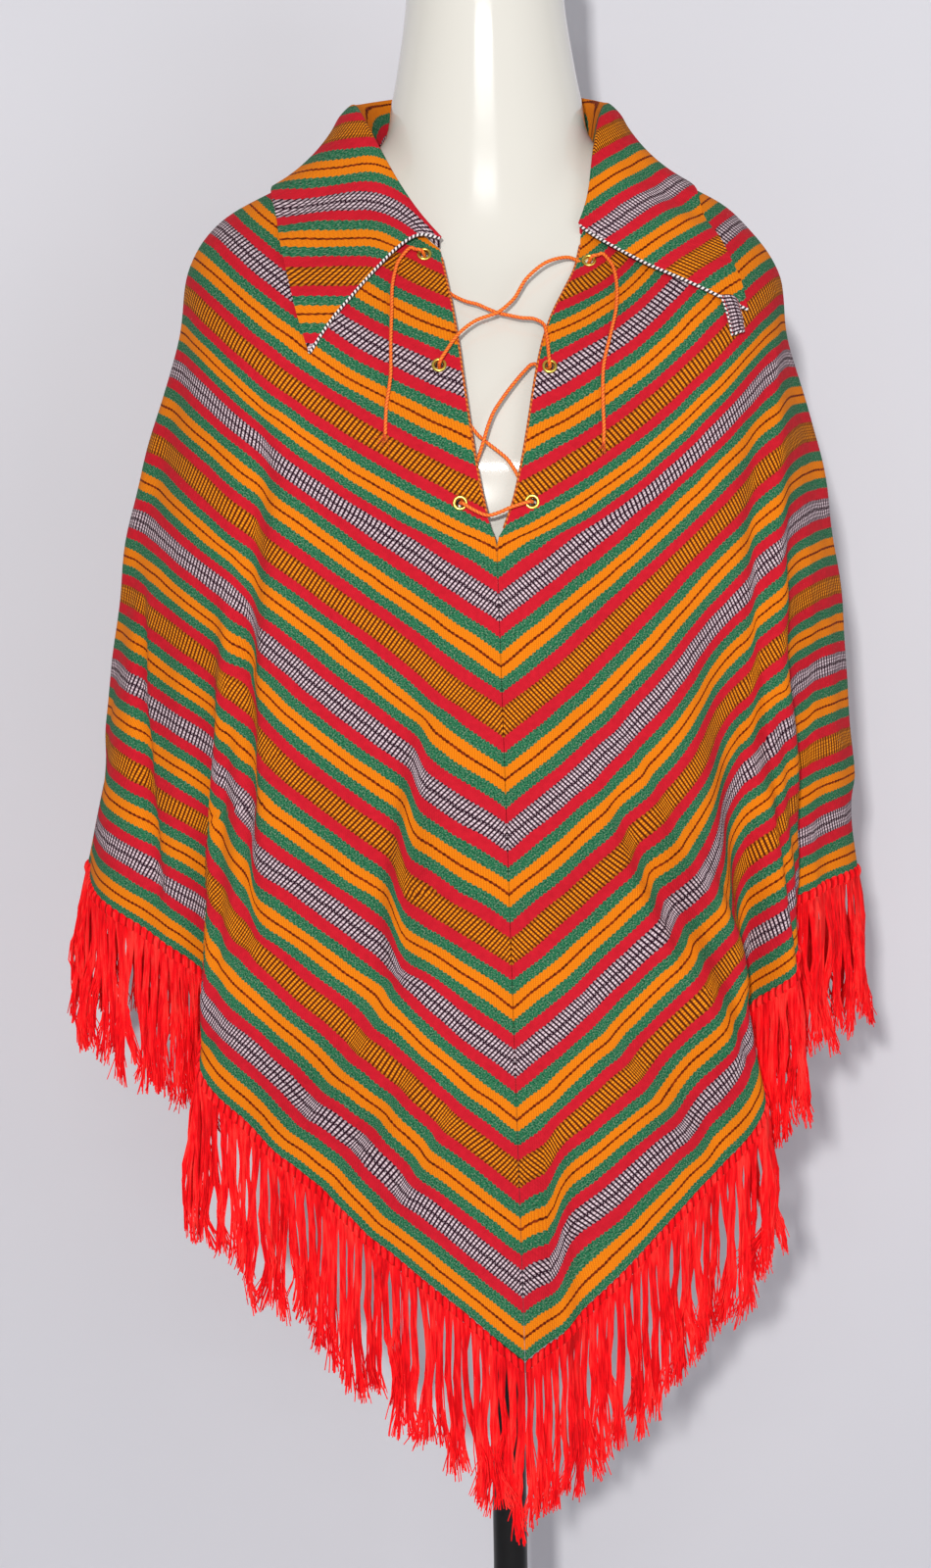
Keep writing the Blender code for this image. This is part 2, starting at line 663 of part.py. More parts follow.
def shoulder_ring(level, side, front, back):
    """A ring of the form just under the cloth of one section, the same on both sides."""
    levels = np.array([level - 0.05, level, level + 0.05])
    half = section_loops(1, levels)
    normals = -grid_normals(half)[1]
    normals[0, 0] = 0
    normals[-1, 0] = 0
    along = np.cos(np.linspace(0, math.pi, LOOP_POINTS))[:, None]
    under = side + (np.where(along > 0, front, back) - side) * along**2
    half = half[1] - unit(normals) * under
    picks = np.linspace(0, LOOP_POINTS - 1, FORM_SIDES // 2 + 1).astype(int)
    right = half[picks]
    left = right[-2:0:-1] * (-1, 1, 1)
    return [tuple(point) for point in np.concatenate([right, left])]


def make_form(look):
    rings = [ring(width, front, back, square, z, z) for _, z, width, front, back, square in FORM_ROWS]
    rings += [shoulder_ring(*row) for row in FORM_SHOULDER]
    rings += [ring(width, front, back, 2.0, side, dip) for _, dip, side, width, front, back in FORM_NECK]
    points = [point for loop in rings for point in loop]
    faces = []
    for r in range(len(rings) - 1):
        for i in range(FORM_SIDES):
            after = (i + 1) % FORM_SIDES
            low, high = r * FORM_SIDES, (r + 1) * FORM_SIDES
            faces.append((low + i, low + after, high + after, high + i))
    faces.append(tuple(range(FORM_SIDES)))
    faces.append(tuple(range((len(rings) - 1) * FORM_SIDES, len(rings) * FORM_SIDES)))
    add_mesh("form_body", points, faces, look)


def make_stand(cap_look, metal_look):
    neck_top = FORM_NECK[-1][1] + GAP
    form_foot = FORM_ROWS[0][1] - GAP
    cap = ((CAP_RADIUS, 0), (CAP_RADIUS, CAP_HEIGHT * 0.6), (CAP_RADIUS * 0.8, CAP_HEIGHT))
    add_turned("form_neck_cap", cap, 24, cap_look, (0, 0, neck_top), closed=False)
    pole = ((POLE_RADIUS, BASE_HEIGHT + GAP), (POLE_RADIUS, form_foot))
    add_turned("stand_pole", pole, 16, metal_look, closed=False)
    base = (
        (BASE_RADIUS, 0),
        (BASE_RADIUS, BASE_HEIGHT * 0.6),
        (BASE_RADIUS - 0.006, BASE_HEIGHT),
    )
    add_turned("stand_base", base, 40, metal_look, closed=False)


def smooth_path(points, step):
    """A smooth curve through all of a list of points, with more points between those far apart,
    and the place of each listed point on it."""
    rows = [("", *point) for point in points]
    path = [points[0]]
    marks = [0]
    for i in range(len(points) - 1):
        count = max(int(round(math.dist(points[i], points[i + 1]) / step)), 1)
        path += list(smooth_rows(rows, i + np.arange(1, count + 1) / count))
        marks.append(len(path) - 1)
    return np.array(path), marks


def across_slit(left, right, down, share, height):
    """A point in the open slit, between the two edges of the cloth."""
    edges = read_ray(left, 0, down=down), read_ray(right, 0, down=down + SLIT_STAGGER)
    return edges[0] * (1 - share) + edges[1] * share - np.array((0, height, 0))


def through_eyelet(panel, row, before, after, outward):
    """Three points that take the lace through an eyelet, out of the cloth or into it."""
    centre, normal = eyelet_frame(panel, row)
    away = normal if outward else -normal
    near = unit(before - centre)
    near = unit(near - normal * np.dot(near, normal))
    far = unit(after - centre)
    far = unit(far - normal * np.dot(far, normal))
    rise = LACE_FRONT_RISE if outward else LACE_BACK_RISE
    dip = LACE_BACK_RISE if outward else LACE_FRONT_RISE
    return [centre - away * dip + near * LACE_ASIDE, centre, centre + away * rise + far * LACE_ASIDE]


def lace_points(left, right):
    """The lace's route from its left free end to its right one, and where its free ends begin."""

    def slit(rows):
        return [across_slit(left, right, *row) for row in rows]

    def lie(panel, rows, height):
        return [read + out * height for read, out, _ in (panel_frame(panel, *row, 0.012) for row in rows)]

    top, middle, bottom = 0, 1, 2
    left_end = lie(left, LEFT_END, LACE_OVER)
    right_end = lie(right, RIGHT_END, LACE_OVER)
    first = slit(FROM_LEFT_TOP)
    second = slit(FROM_RIGHT_MIDDLE)
    bar = slit(BAR)
    third = slit(FROM_RIGHT_BOTTOM)
    fourth = slit(FROM_LEFT_MIDDLE)
    route = left_end + through_eyelet(left, top, left_end[-1], first[0], False) + first
    exit_left = len(left_end)
    route += through_eyelet(right, middle, first[-1], second[0], False) + second
    route += through_eyelet(left, bottom, second[-1], bar[0], True) + bar
    route += through_eyelet(right, bottom, bar[-1], third[0], False) + third
    route += through_eyelet(left, middle, third[-1], fourth[0], True) + fourth
    route += through_eyelet(right, top, fourth[-1], right_end[0], True)
    exit_right = len(route) - 1
    return route + right_end, (exit_left, exit_right)


def make_lace(left, right, look):
    """The laced stretch and the two free ends, each cut square a hair's breadth from the next."""
    route, exits = lace_points(left, right)
    path, marks = smooth_path(route, LACE_STEP)
    first, last = marks[exits[0]], marks[exits[1]]
    cuts = []
    for low in (first - 1, last):
        middle = (path[low] + path[low + 1]) / 2
        half_gap = unit(path[low + 1] - path[low]) * GAP / 2
        cuts.append((middle - half_gap, middle + half_gap))
    add_cord("lace_end_left", [*path[:first], cuts[0][0]], look)
    add_cord("lace_laced", [cuts[0][1], *path[first : last + 1], cuts[1][0]], look)
    add_cord("lace_end_right", [cuts[1][1], *path[last + 1 :]], look)


def add_cord(name, path, look):
    curve = bpy.data.curves.new(name, "CURVE")
    curve.dimensions = "3D"
    curve.bevel_depth = LACE_RADIUS
    curve.bevel_resolution = 2
    curve.use_fill_caps = True
    curve.materials.append(look)
    spline = curve.splines.new("POLY")
    spline.points.add(len(path) - 1)
    for point, place in zip(spline.points, path):
        point.co = (*place, 1)
    made = bpy.data.objects.new(name, curve)
    bpy.context.scene.collection.objects.link(made)
    return made


def main():
    for thing in list(bpy.data.objects):
        bpy.data.objects.remove(thing, do_unlink=True)
    cloth_left = material("striped_cloth_left", (0.42, 0.10, 0.05), 0.85)
    cloth_right = material("striped_cloth_right", (0.40, 0.12, 0.05), 0.85)
    cloth_collar = material("striped_cloth_collar", (0.12, 0.16, 0.07), 0.85)
    fringe_look = material("red_yarn", (0.80, 0.02, 0.02), 0.9)
    brass = material("eyelet_brass", (0.75, 0.50, 0.10), 0.3, 1.0)
    gloss = material("form_gloss_white", (0.78, 0.77, 0.72), 0.15)
    dark = material("stand_black", (0.02, 0.02, 0.02), 0.35)
    lace_look = material("orange_cord", (0.85, 0.22, 0.02), 0.7)
    left = draped_panel(-1)
    right = draped_panel(1)
    make_panel(left, "panel_left", cloth_left)
    make_panel(right, "panel_right", cloth_right)
    make_collar(left, right, cloth_collar)
    make_fringe(left, "fringe_left", fringe_look)
    make_fringe(right, "fringe_right", fringe_look)
    make_eyelets(left, "eyelet_left", brass)
    make_eyelets(right, "eyelet_right", brass)
    make_lace(left, right, lace_look)
    make_form(gloss)
    make_stand(dark, dark)


main()
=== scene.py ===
import math

import bmesh
import bpy
import numpy as np
from mathutils import Matrix, Vector


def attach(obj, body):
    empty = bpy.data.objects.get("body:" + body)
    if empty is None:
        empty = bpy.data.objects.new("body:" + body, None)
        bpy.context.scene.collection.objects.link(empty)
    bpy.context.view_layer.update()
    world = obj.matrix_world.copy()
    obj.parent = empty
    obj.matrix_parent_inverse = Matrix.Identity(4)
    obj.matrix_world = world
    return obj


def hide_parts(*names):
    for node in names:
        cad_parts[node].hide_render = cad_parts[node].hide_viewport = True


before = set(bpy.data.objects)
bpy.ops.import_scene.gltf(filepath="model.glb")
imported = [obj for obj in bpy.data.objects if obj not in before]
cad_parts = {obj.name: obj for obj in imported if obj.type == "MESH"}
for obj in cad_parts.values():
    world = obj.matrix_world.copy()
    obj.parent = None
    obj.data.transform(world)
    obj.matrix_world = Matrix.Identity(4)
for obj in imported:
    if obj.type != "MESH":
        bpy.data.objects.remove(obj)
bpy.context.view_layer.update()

bpy.context.scene.view_settings.view_transform = "Standard"

# Camera that matches the photograph, level with the hem and rolled a little with the pole
CAMERA_PLACE = (0.0, -1.6, 1.15)
CAMERA_PITCH = math.radians(84.6)
CAMERA_ROLL = math.radians(-0.95)
CAMERA_LENS = 51.66
CAMERA_SHIFT = -33 / 1600

camera_data = bpy.data.cameras.new("camera")
camera_data.sensor_width = 36
camera_data.lens = CAMERA_LENS
camera_data.shift_x = CAMERA_SHIFT
camera = bpy.data.objects.new("camera", camera_data)
tilt = Matrix.Rotation(CAMERA_PITCH, 4, "X") @ Matrix.Rotation(CAMERA_ROLL, 4, "Z")
camera.matrix_world = Matrix.Translation(CAMERA_PLACE) @ tilt
bpy.context.scene.collection.objects.link(camera)
bpy.context.scene.camera = camera

# The cut and the drape, the same as the solids', in metres
CUT_DEPTH = 0.665
CUT_HALF_ANGLE = math.radians(45)
NECK_FRONT = 0.182
NECK_SIDE = 0.088
NECK_BACK = 0.120
CLOTH = 0.0016
GAP = 0.0003
SLIT_TIP = 1.172
SLIT_SPREAD = {-1: 0.0265, 1: 0.0425}
SLIT_FLARE = {-1: 0.0150, 1: 0.0040}
SPREAD_POWER = 0.6
FLARE_POWER = 6
SLIT_ABOVE_NECK = 0.02
SEAM_DRIFT = 0.012
DRIFT_TOP = 1.272
DRIFT_HEIGHT = 0.65
DRIFT_DEPTH = 0.14
SECTIONS = (
    # name, front_out, front_z, left_out, right_out, side_z, back_out, back_z, square
    ("neck", 0.068, 1.352, 0.088, 0.078, 1.447, 0.062, 1.462, 2.00),
    ("yoke", 0.088, 1.318, 0.142, 0.130, 1.418, 0.088, 1.425, 2.12),
    ("shoulder", 0.106, 1.280, 0.186, 0.172, 1.393, 0.106, 1.382, 2.25),
    ("cap", 0.119, 1.238, 0.209, 0.198, 1.356, 0.118, 1.332, 2.38),
    ("chest", 0.130, 1.180, 0.215, 0.204, 1.305, 0.126, 1.270, 2.45),
    ("bust", 0.136, 1.110, 0.238, 0.220, 1.228, 0.130, 1.190, 2.42),
    ("waist", 0.140, 1.010, 0.262, 0.233, 1.115, 0.135, 1.080, 2.38),
    ("hip", 0.142, 0.870, 0.288, 0.240, 0.990, 0.138, 0.950, 2.34),
    ("low", 0.140, 0.690, 0.314, 0.247, 0.860, 0.140, 0.770, 2.30),
    ("end", 0.136, 0.490, 0.335, 0.253, 0.720, 0.140, 0.560, 2.30),
)
FULL_EXCESS = 0.34
FOLD_POWER = 1.5
FOLD_PEAK = 0.325
FOLDS = (
    # side, centre, half_width, share, depth
    (-1, 0.245, 0.096, 0.40, 0.015),
    (-1, 0.450, 0.090, 0.14, 0.008),
    (-1, 0.640, 0.080, 0.20, 0.012),
    (-1, 0.810, 0.080, 0.26, 0.014),
    (1, 0.190, 0.086, 0.25, 0.012),
    (1, 0.325, 0.082, 0.23, 0.013),
    (1, 0.510, 0.090, 0.10, 0.008),
    (1, 0.670, 0.075, 0.19, 0.012),
    (1, 0.820, 0.075, 0.22, 0.013),
)
LEVEL_STEPS = 180
COLUMN_STEPS = 300
LOOP_POINTS = 241

# Finer rows of the cloth that is seen, and how far past the hem the fringe's rows lie
CLOTH_ROWS = 120
PAST_HEM = (0.0016, 0.0034, 0.0060)

# Creases on the flat cloth: height, width on each side, and points (along the hem, down from the
# tip). Along is negative towards centre front. Heights are outward, so a trough is negative.
CREASES = {
    -1: (
        (0.0130, 0.0136, 0.0079, ((-0.318, 0.387), (-0.363, 0.455), (-0.381, 0.483), (-0.417, 0.521))),
        (-0.0076, 0.0043, 0.0086, ((-0.063, 0.455), (-0.098, 0.529), (-0.151, 0.630))),
        (0.0102, 0.0099, 0.0086, ((-0.149, 0.404), (-0.199, 0.551), (-0.334, 0.644))),
        (-0.0085, 0.0081, 0.0130, ((-0.140, 0.385), (-0.230, 0.491), (-0.328, 0.568))),
        (-0.0076, 0.0099, 0.0144, ((-0.125, 0.290), (-0.150, 0.360), (-0.185, 0.440))),
        (0.0076, 0.0112, 0.0158, ((-0.415, 0.500), (-0.430, 0.580), (-0.438, 0.668))),
        (-0.0068, 0.0099, 0.0130, ((-0.470, 0.560), (-0.478, 0.610), (-0.480, 0.668))),
        (0.0076, 0.0124, 0.0115, ((-0.505, 0.560), (-0.518, 0.620), (-0.525, 0.668))),
        (0.0068, 0.0124, 0.0187, ((-0.020, 0.250), (-0.030, 0.400), (-0.025, 0.560))),
        (0.0102, 0.0087, 0.0173, ((0.120, 0.330), (0.170, 0.480), (0.230, 0.640))),
        (-0.0085, 0.0112, 0.0115, ((0.060, 0.420), (0.100, 0.540), (0.130, 0.668))),
        (0.0093, 0.0149, 0.0101, ((0.320, 0.430), (0.370, 0.530), (0.410, 0.650))),
        (-0.0076, 0.0099, 0.0144, ((0.270, 0.480), (0.310, 0.570), (0.330, 0.668))),
        (0.0068, 0.0112, 0.0130, ((0.500, 0.570), (0.520, 0.668))),
    ),
    1: (
        (-0.0120, 0.0068, 0.0137, ((-0.347, 0.440), (-0.363, 0.486), (-0.383, 0.550), (-0.399, 0.620))),
        (0.0076, 0.0112, 0.0094, ((-0.310, 0.420), (-0.330, 0.500), (-0.350, 0.600))),
        (0.0150, 0.0211, 0.0086, ((-0.530, 0.560), (-0.566, 0.597), (-0.648, 0.683))),
        (0.0076, 0.0087, 0.0130, ((-0.053, 0.300), (-0.161, 0.497), (-0.178, 0.668))),
        (-0.0068, 0.0112, 0.0101, ((-0.100, 0.330), (-0.205, 0.510), (-0.225, 0.668))),
        (-0.0059, 0.0160, 0.0220, ((-0.070, 0.480), (-0.092, 0.570), (-0.100, 0.668))),
        (0.0068, 0.0124, 0.0130, ((-0.455, 0.520), (-0.470, 0.600), (-0.472, 0.668))),
        (0.0076, 0.0136, 0.0144, ((-0.015, 0.260), (-0.010, 0.420), (-0.020, 0.600))),
        (-0.0093, 0.0087, 0.0158, ((0.100, 0.360), (0.150, 0.500), (0.190, 0.668))),
        (0.0093, 0.0099, 0.0144, ((0.200, 0.400), (0.250, 0.520), (0.290, 0.668))),
        (-0.0076, 0.0124, 0.0101, ((0.330, 0.470), (0.360, 0.560), (0.380, 0.668))),
        (0.0076, 0.0112, 0.0158, ((0.440, 0.540), (0.470, 0.668))),
    ),
}
# How much cloth a crease draws in, as a share of its height, how sharply, and from how far
DRAW_SHARE = 1.05
DRAW_WIDTH = 0.0045
DRAW_REACH = 0.045
# Where a crease starts and how far it runs in its rise and fall, and how blunt its ends are
CREASE_START = 0.04
CREASE_SPAN = 0.8
CREASE_BLUNT = 0.8
# Slight unevenness of the hand-woven cloth: height, waves a metre along and down, and a start
RIPPLES = (
    (0.0007, 7.0, 3.0, 0.3),
    (0.0006, -4.0, 9.0, 1.7),
    (0.0005, 13.0, 5.0, 2.9),
    (0.0004, 11.0, -14.0, 4.1),
)
# The neck's right front is pulled open a little: by how much, round where, and how far it reaches
NECK_PULL = np.array((0.020, 0.004, -0.006))
NECK_PULL_PLACE = np.array((0.045, -0.060, 1.375))
NECK_PULL_REACH = 0.055

# Where the stripes of the two panels are made to meet, and how much of the cut this changes
SEAM_HEIGHT = 0.9
SEAM_REACH = 0.35

# Creases and unevenness fade out near the seams, the neck and the hem. A closed seam dips a little.
SEAM_FADE = 0.035
NECK_CALM = 0.12
NECK_FADE = 0.10
HEM_FADE = 0.05
SEAM_DIP = 0.0009
SEAM_DIP_WIDTH = 0.0035

# Eyelets: distances down from the neck and in from the slit's edge on each side, the steps along the
# rays of the cut that find how far in this is, and the holes through the cloth
EYELET_DOWN = {-1: (0.015, 0.097, 0.191), 1: (0.029, 0.112, 0.206)}
EYELET_IN = {-1: (0.016, 0.016, 0.016), 1: (0.013, 0.009, 0.013)}
EYELET_FIRST_RAY = 0.01
EYELET_RAY_STEP = 0.002
EYELET_SPAN = 0.02
CLOTH_HOLE = 0.0043
HOLE_SIDES = 24
HOLE_DEPTH = 0.012
# An eyelet's rolled rim, as radius and height over the cloth, and its barrel through the hole
EYELET_RIM = (
    (0.0029, 0.0004), (0.0033, 0.0008), (0.0040, 0.0010), (0.0046, 0.0008),
    (0.0050, 0.0003), (0.0050, -0.0002), (0.0036, -0.0002),
)
EYELET_BORE = 0.0028
EYELET_BARREL = 0.0036
EYELET_LIP = 0.0002
EYELET_SEAT = CLOTH / 2 + 0.0005
EYELET_SIDES = 40

# Lace: how its points are laid, how much lower the slit's right edge is read, and its fibres
SLIT_STAGGER = 0.004
LACE_RADIUS = 0.00135
LACE_STEP = 0.0085
LACE_FINE_STEP = 0.0011
LACE_OVER = 0.0032
LACE_SPAN = 0.012
LACE_FRONT_RISE = 0.0046
LACE_BACK_RISE = 0.0040
LACE_ASIDE = 0.0021
LACE_TWIST = 0.0075
LACE_SIDES = 18
LAY_DEPTH = 0.16
FRAY_FIBRES = 22
FRAY_STEPS = 5
FRAY_LENGTH = (0.004, 0.009)
FRAY_LEAN = 0.38
FRAY_BEND = 0.25
FRAY_SPREAD = 0.0004
FRAY_RADIUS = 0.00022
# Its route, as in the solids. A free end's points are a ray and a distance down the panel. Points in
# the slit are a distance down, a share of the way to the right edge and a height before the edges.
LEFT_END = (
    (0.086, 0.163), (0.083, 0.143), (0.078, 0.121), (0.080, 0.097),
    (0.084, 0.074), (0.089, 0.055), (0.086, 0.036), (0.070, 0.021),
)
RIGHT_END = (
    (0.065, 0.036), (0.086, 0.052), (0.098, 0.072), (0.098, 0.094), (0.088, 0.112),
    (0.078, 0.131), (0.077, 0.153), (0.080, 0.176), (0.081, 0.186),
)
FROM_LEFT_TOP = (
    (0.036, 0.02, -0.0030), (0.046, 0.23, -0.0010), (0.055, 0.43, -0.0012),
    (0.062, 0.68, 0.0010), (0.070, 0.94, 0.0030),
)
FROM_RIGHT_MIDDLE = (
    (0.101, 0.94, -0.0030), (0.112, 0.70, -0.0005), (0.130, 0.38, 0.0010),
    (0.146, 0.20, 0.0018), (0.158, 0.02, -0.0044),
)
BAR = ((0.1945, 0.00, 0.0040), (0.2010, 1.00, 0.0040))
FROM_RIGHT_BOTTOM = (
    (0.180, 0.98, -0.0030), (0.163, 0.62, -0.0022), (0.146, 0.20, -0.0020), (0.131, -0.02, -0.0030),
)
FROM_LEFT_MIDDLE = (
    (0.068, 0.02, 0.0034), (0.059, 0.23, 0.0024), (0.055, 0.43, 0.0022), (0.044, 0.57, 0.0020),
    (0.030, 0.63, 0.0060), (0.017, 0.76, 0.0100), (0.013, 0.93, 0.0060),
)

# Collar, as the solid has it, and how fine it is here
COLLAR_SEAM = 0.0012
COLLAR_STAND_INSET = 0.0022
COLLAR_STAND_PARTS = (0.0, 0.5, 0.88)
COLLAR_FALL_PARTS = (0.05, 0.20, 0.40, 0.60, 0.80, 1.0)
COLLAR_BOW = 1.6
COLLAR_UPRIGHT = 0.5
COLLAR_ROLL_INSET = 0.0012
COLLAR_ROLL_RISE = 1.05
COLLAR_ROLL_ROW = 3
COLLAR_SETTLE = 2.2
COLLAR = {
    -1: (
        # along_neck, edge_along, edge_down, bend, stand, edge_lift
        (0.00, 0.180, 0.138, 0.42, 0.007, 0.0045),
        (0.12, 0.235, 0.105, 0.80, 0.012, 0.0040),
        (0.25, 0.330, 0.080, 1.00, 0.018, 0.0040),
        (0.40, 0.450, 0.067, 1.00, 0.024, 0.0042),
        (0.60, 0.600, 0.064, 1.00, 0.029, 0.0045),
        (0.80, 0.800, 0.070, 1.00, 0.032, 0.0045),
        (1.00, 1.000, 0.072, 1.00, 0.032, 0.0045),
    ),
    1: (
        (0.00, 0.300, 0.165, 0.65, 0.007, 0.0080),
        (0.12, 0.305, 0.130, 0.80, 0.012, 0.0060),
        (0.25, 0.320, 0.092, 1.00, 0.018, 0.0050),
        (0.40, 0.430, 0.062, 1.00, 0.024, 0.0042),
        (0.60, 0.580, 0.056, 1.00, 0.029, 0.0045),
        (0.80, 0.800, 0.068, 1.00, 0.032, 0.0045),
        (1.00, 1.000, 0.072, 1.00, 0.032, 0.0045),
    ),
}
# How far the right leaf sags, over how much of the neck from its front end, and the leaves' ripple:
# its height, and waves as share, length and start
LEAF_SAG = {-1: 0.0, 1: 0.018}
LEAF_SAG_END = 0.35
LEAF_RIPPLE = 0.0016
LEAF_WAVES = ((1.0, 0.071, 0.8), (0.6, 0.039, 2.0))
LEAF_CALM = -0.45
COLLAR_COLUMNS = 61
COLLAR_ROWS = 46
COLLAR_SMOOTHING = 10
COLLAR_SPANS = len(COLLAR_STAND_PARTS) + len(COLLAR_FALL_PARTS)
COLLAR_ROLL = int(round(COLLAR_ROLL_ROW * (COLLAR_ROWS - 1) / COLLAR_SPANS))

# Stripes on the collar: where one lies on each leaf, how they curve or tilt, how the leaves' stripes
# give way to those round the back, as shares of half the neck, and the first stripe at the back
LEFT_LEAF_STRIPE = 1.399
LEFT_LEAF_PITCH = 0.0515
LEFT_LEAF_BEND = 12.6
LEFT_LEAF_BEND_FROM = -0.085
RIGHT_LEAF_STRIPE = (0.1006, 1.393)
RIGHT_LEAF_TILT = math.radians(33)
LEAF_END = 0.38
LEAF_FADE = 0.30
BACK_FIRST_STRIPE = -0.9

# The right leaf's turned tip: its ray, its distance down, its height off the cloth, and its stripe.
# Each is a start, what is added across it, and what is added down it where there is a third. The
# height's second value is added in the middle alone. The taper draws the tip's foot together.
TIP_RAY = (0.262, 0.022, 0.004)
TIP_DOWN = (0.144, 0.010, 0.028)
TIP_TAPER = 0.006
TIP_LIFT = (0.0062, 0.0030, -0.0028)
TIP_STRIPE = (0.36, 0.30)
TIP_ROWS = 15
TIP_COLUMNS = 9

# Edgings: how far the slit's runs past its tip, radius of each, and the distance between points
BINDING_RUN = 0.002
BINDING_RADIUS = 0.0010
LEAF_EDGING_RADIUS = 0.0011
BINDING_STEP = 0.0025
EDGING_STEP = 0.002

# Stripes: distance of the first from the hem, the repeat, and the halves of its parts
STRIPE_START = 0.011
STRIPE_PITCH = 0.053
BAND_HALF = 0.1245
RED_HALF = 0.2595
GREEN_HALF = 0.3885
ORANGE_HALF = 0.4865
# Weave: the teeth of the stripes' edges, the mesh on the orange, and in the dashed bands the dashes,
# their rows, where these start from the zigzag line and turn thin, and the line's size
TEETH = 0.0016
MESH_PITCH = 0.0019
DASH_PITCH = 0.0027
DASH_ROW = 0.0020
DASH_START = 0.0008
DASH_THIN = 0.0050
ZIGZAG = 0.0011
LINE_HALF = 0.0005

# Dress form, as the solid has it but for a dip in front, which keeps the chest smooth
FORM_ROWS = (
    # name, front_z, side_z, half_width, front, back, square
    ("foot", 0.800, 0.800, 0.158, 0.098, 0.112, 2.2),
    ("hip", 0.830, 0.830, 0.166, 0.104, 0.118, 2.2),
    ("high_hip", 0.925, 0.930, 0.158, 0.098, 0.110, 2.2),
    ("waist", 1.015, 1.030, 0.122, 0.084, 0.084, 2.1),
    ("ribs", 1.085, 1.120, 0.136, 0.100, 0.096, 2.2),
    ("bust", 1.140, 1.200, 0.156, 0.112, 0.104, 2.3),
    ("armhole", 1.185, 1.270, 0.168, 0.115, 0.106, 2.4),
)
FORM_NECK = (
    # name, front_z, side_z, half_width, front, back
    ("neck_foot", 1.368, 1.446, 0.0735, 0.0570, 0.0530),
    ("neck_low", 1.430, 1.474, 0.0660, 0.0520, 0.0500),
    ("neck_bend", 1.485, 1.505, 0.0600, 0.0500, 0.0500),
    ("neck_middle", 1.545, 1.545, 0.0545, 0.0500, 0.0500),
    ("neck_top", 1.600, 1.600, 0.0530, 0.0500, 0.0500),
)
FORM_SHOULDER = (
    # section, side, front, back
    (3.3, 0.0090, 0.0100, 0.0080),
    (2.7, 0.0050, 0.0100, 0.0060),
    (2.0, 0.0024, 0.0100, 0.0040),
    (1.3, 0.0024, 0.0100, 0.0040),
    (0.6, 0.0040, 0.0090, 0.0050),
)
FORM_SIDES = 96
FORM_STEPS = 5
POLE_RADIUS = 0.0125
BASE_RADIUS = 0.160
BASE_HEIGHT = 0.010
CAP_RADIUS = 0.050
CAP_HEIGHT = 0.012

# Fringe. The heading's puffs: their places, how blunt they are, their shares of height and depth as
# always there and at a puff, and their unevenness as a share and two waves a metre.
PUFF_PITCH = 0.0060
PUFF_POINTS = 7
PUFF_BLUNT = 0.7
PUFF_TALL = (0.74, 0.26)
PUFF_DEEP = (0.35, 0.65)
PUFF_UNEVEN = (0.08, 911, 373)
PUFF_SIDES = 10
PUFF_HEIGHT = 0.0045
PUFF_DEPTH = 0.0031
# Tufts and the yarns in each: how wide a tuft's yarns are spread, how its length varies, how much
# shorter single yarns are, and how the hem's two ends are longer
TUFT_PITCH = 0.0078
TUFT_YARNS = 26
TUFT_HALF = 0.52
TUFT_WIDTHS = (0.85, 1.2)
TUFT_LENGTHS = (0.90, 1.08)
YARN_STEPS = 7
YARN_SIDES = 3
YARN_ROOT = 0.00072
YARN_TIP = 0.00042
YARN_SIDE_LENGTH = 0.104
YARN_POINT_LENGTH = 0.116
YARN_POINT_POWER = 3
YARN_SHORTER = 0.06
YARN_WIDTHS = (0.8, 1.15)
YARN_OFF = 0.0006
# How yarns turn from the cloth's fall towards straight down, by which share of their length
TURN_SHARE = 0.75
TURN_END = 0.9
# How the yarns of a tuft are drawn together: by how much, by where, and how they part again
PINCH = 0.36
PINCH_END = 0.12
PARTED = 0.75
PARTED_FROM = 0.30
PARTED_OVER = 0.60
# Sways as height and waves, of a whole tuft and of a single yarn, along the hem and outward. They
# grow down the yarn, and its end curls.
TUFT_SWAYS = ((0.0032, 0.7), (0.0014, 1.9))
TUFT_SWAY_OUT = (0.0034, 1.0)
YARN_SWAYS = ((0.0009, 1.9), (0.0005, 3.7))
YARN_SWAY_OUT = (0.0012, 1.9)
SWAY_GROWTH = 0.8
CURL = 0.0024
CURL_FROM = 0.72

# Lamps, and the light of the room itself
LIGHTS = (
    # name, place, target, power, width, height, colour
    ("key", (-0.26, -2.6, 1.53), (0, 0, 1.1), 53, 0.10, 0.10, (1.0, 0.985, 0.96)),
    ("glint", (-0.10, -2.55, 2.03), (0, 0, 1.5), 7, 0.9, 0.11, (1.0, 1.0, 1.0)),
    ("fill", (1.5, -2.0, 1.2), (0, 0, 1.1), 12, 1.4, 1.4, (0.95, 0.97, 1.0)),
)
ROOM_COLOUR = (0.93, 0.94, 0.97, 1)
ROOM_STRENGTH = 0.40

DOWN = np.array((0.0, 0.0, -1.0))


def through(rows, level):
    """Places between the rows of an array, on a smooth curve through them."""
    rows = np.asarray(rows, float)
    level = np.clip(np.asarray(level, float), 0, len(rows) - 1)
    low = np.clip(level.astype(int), 0, len(rows) - 2)
    part = (level - low).reshape(level.shape + (1,) * (rows.ndim - 1))
    p0 = rows[np.maximum(low - 1, 0)]
    p1 = rows[low]
    p2 = rows[low + 1]
    p3 = rows[np.minimum(low + 2, len(rows) - 1)]
    linear = (p2 - p0) * part
    square = (2 * p0 - 5 * p1 + 4 * p2 - p3) * part**2
    cube = (3 * p1 - p0 - 3 * p2 + p3) * part**3
    return 0.5 * (2 * p1 + linear + square + cube)


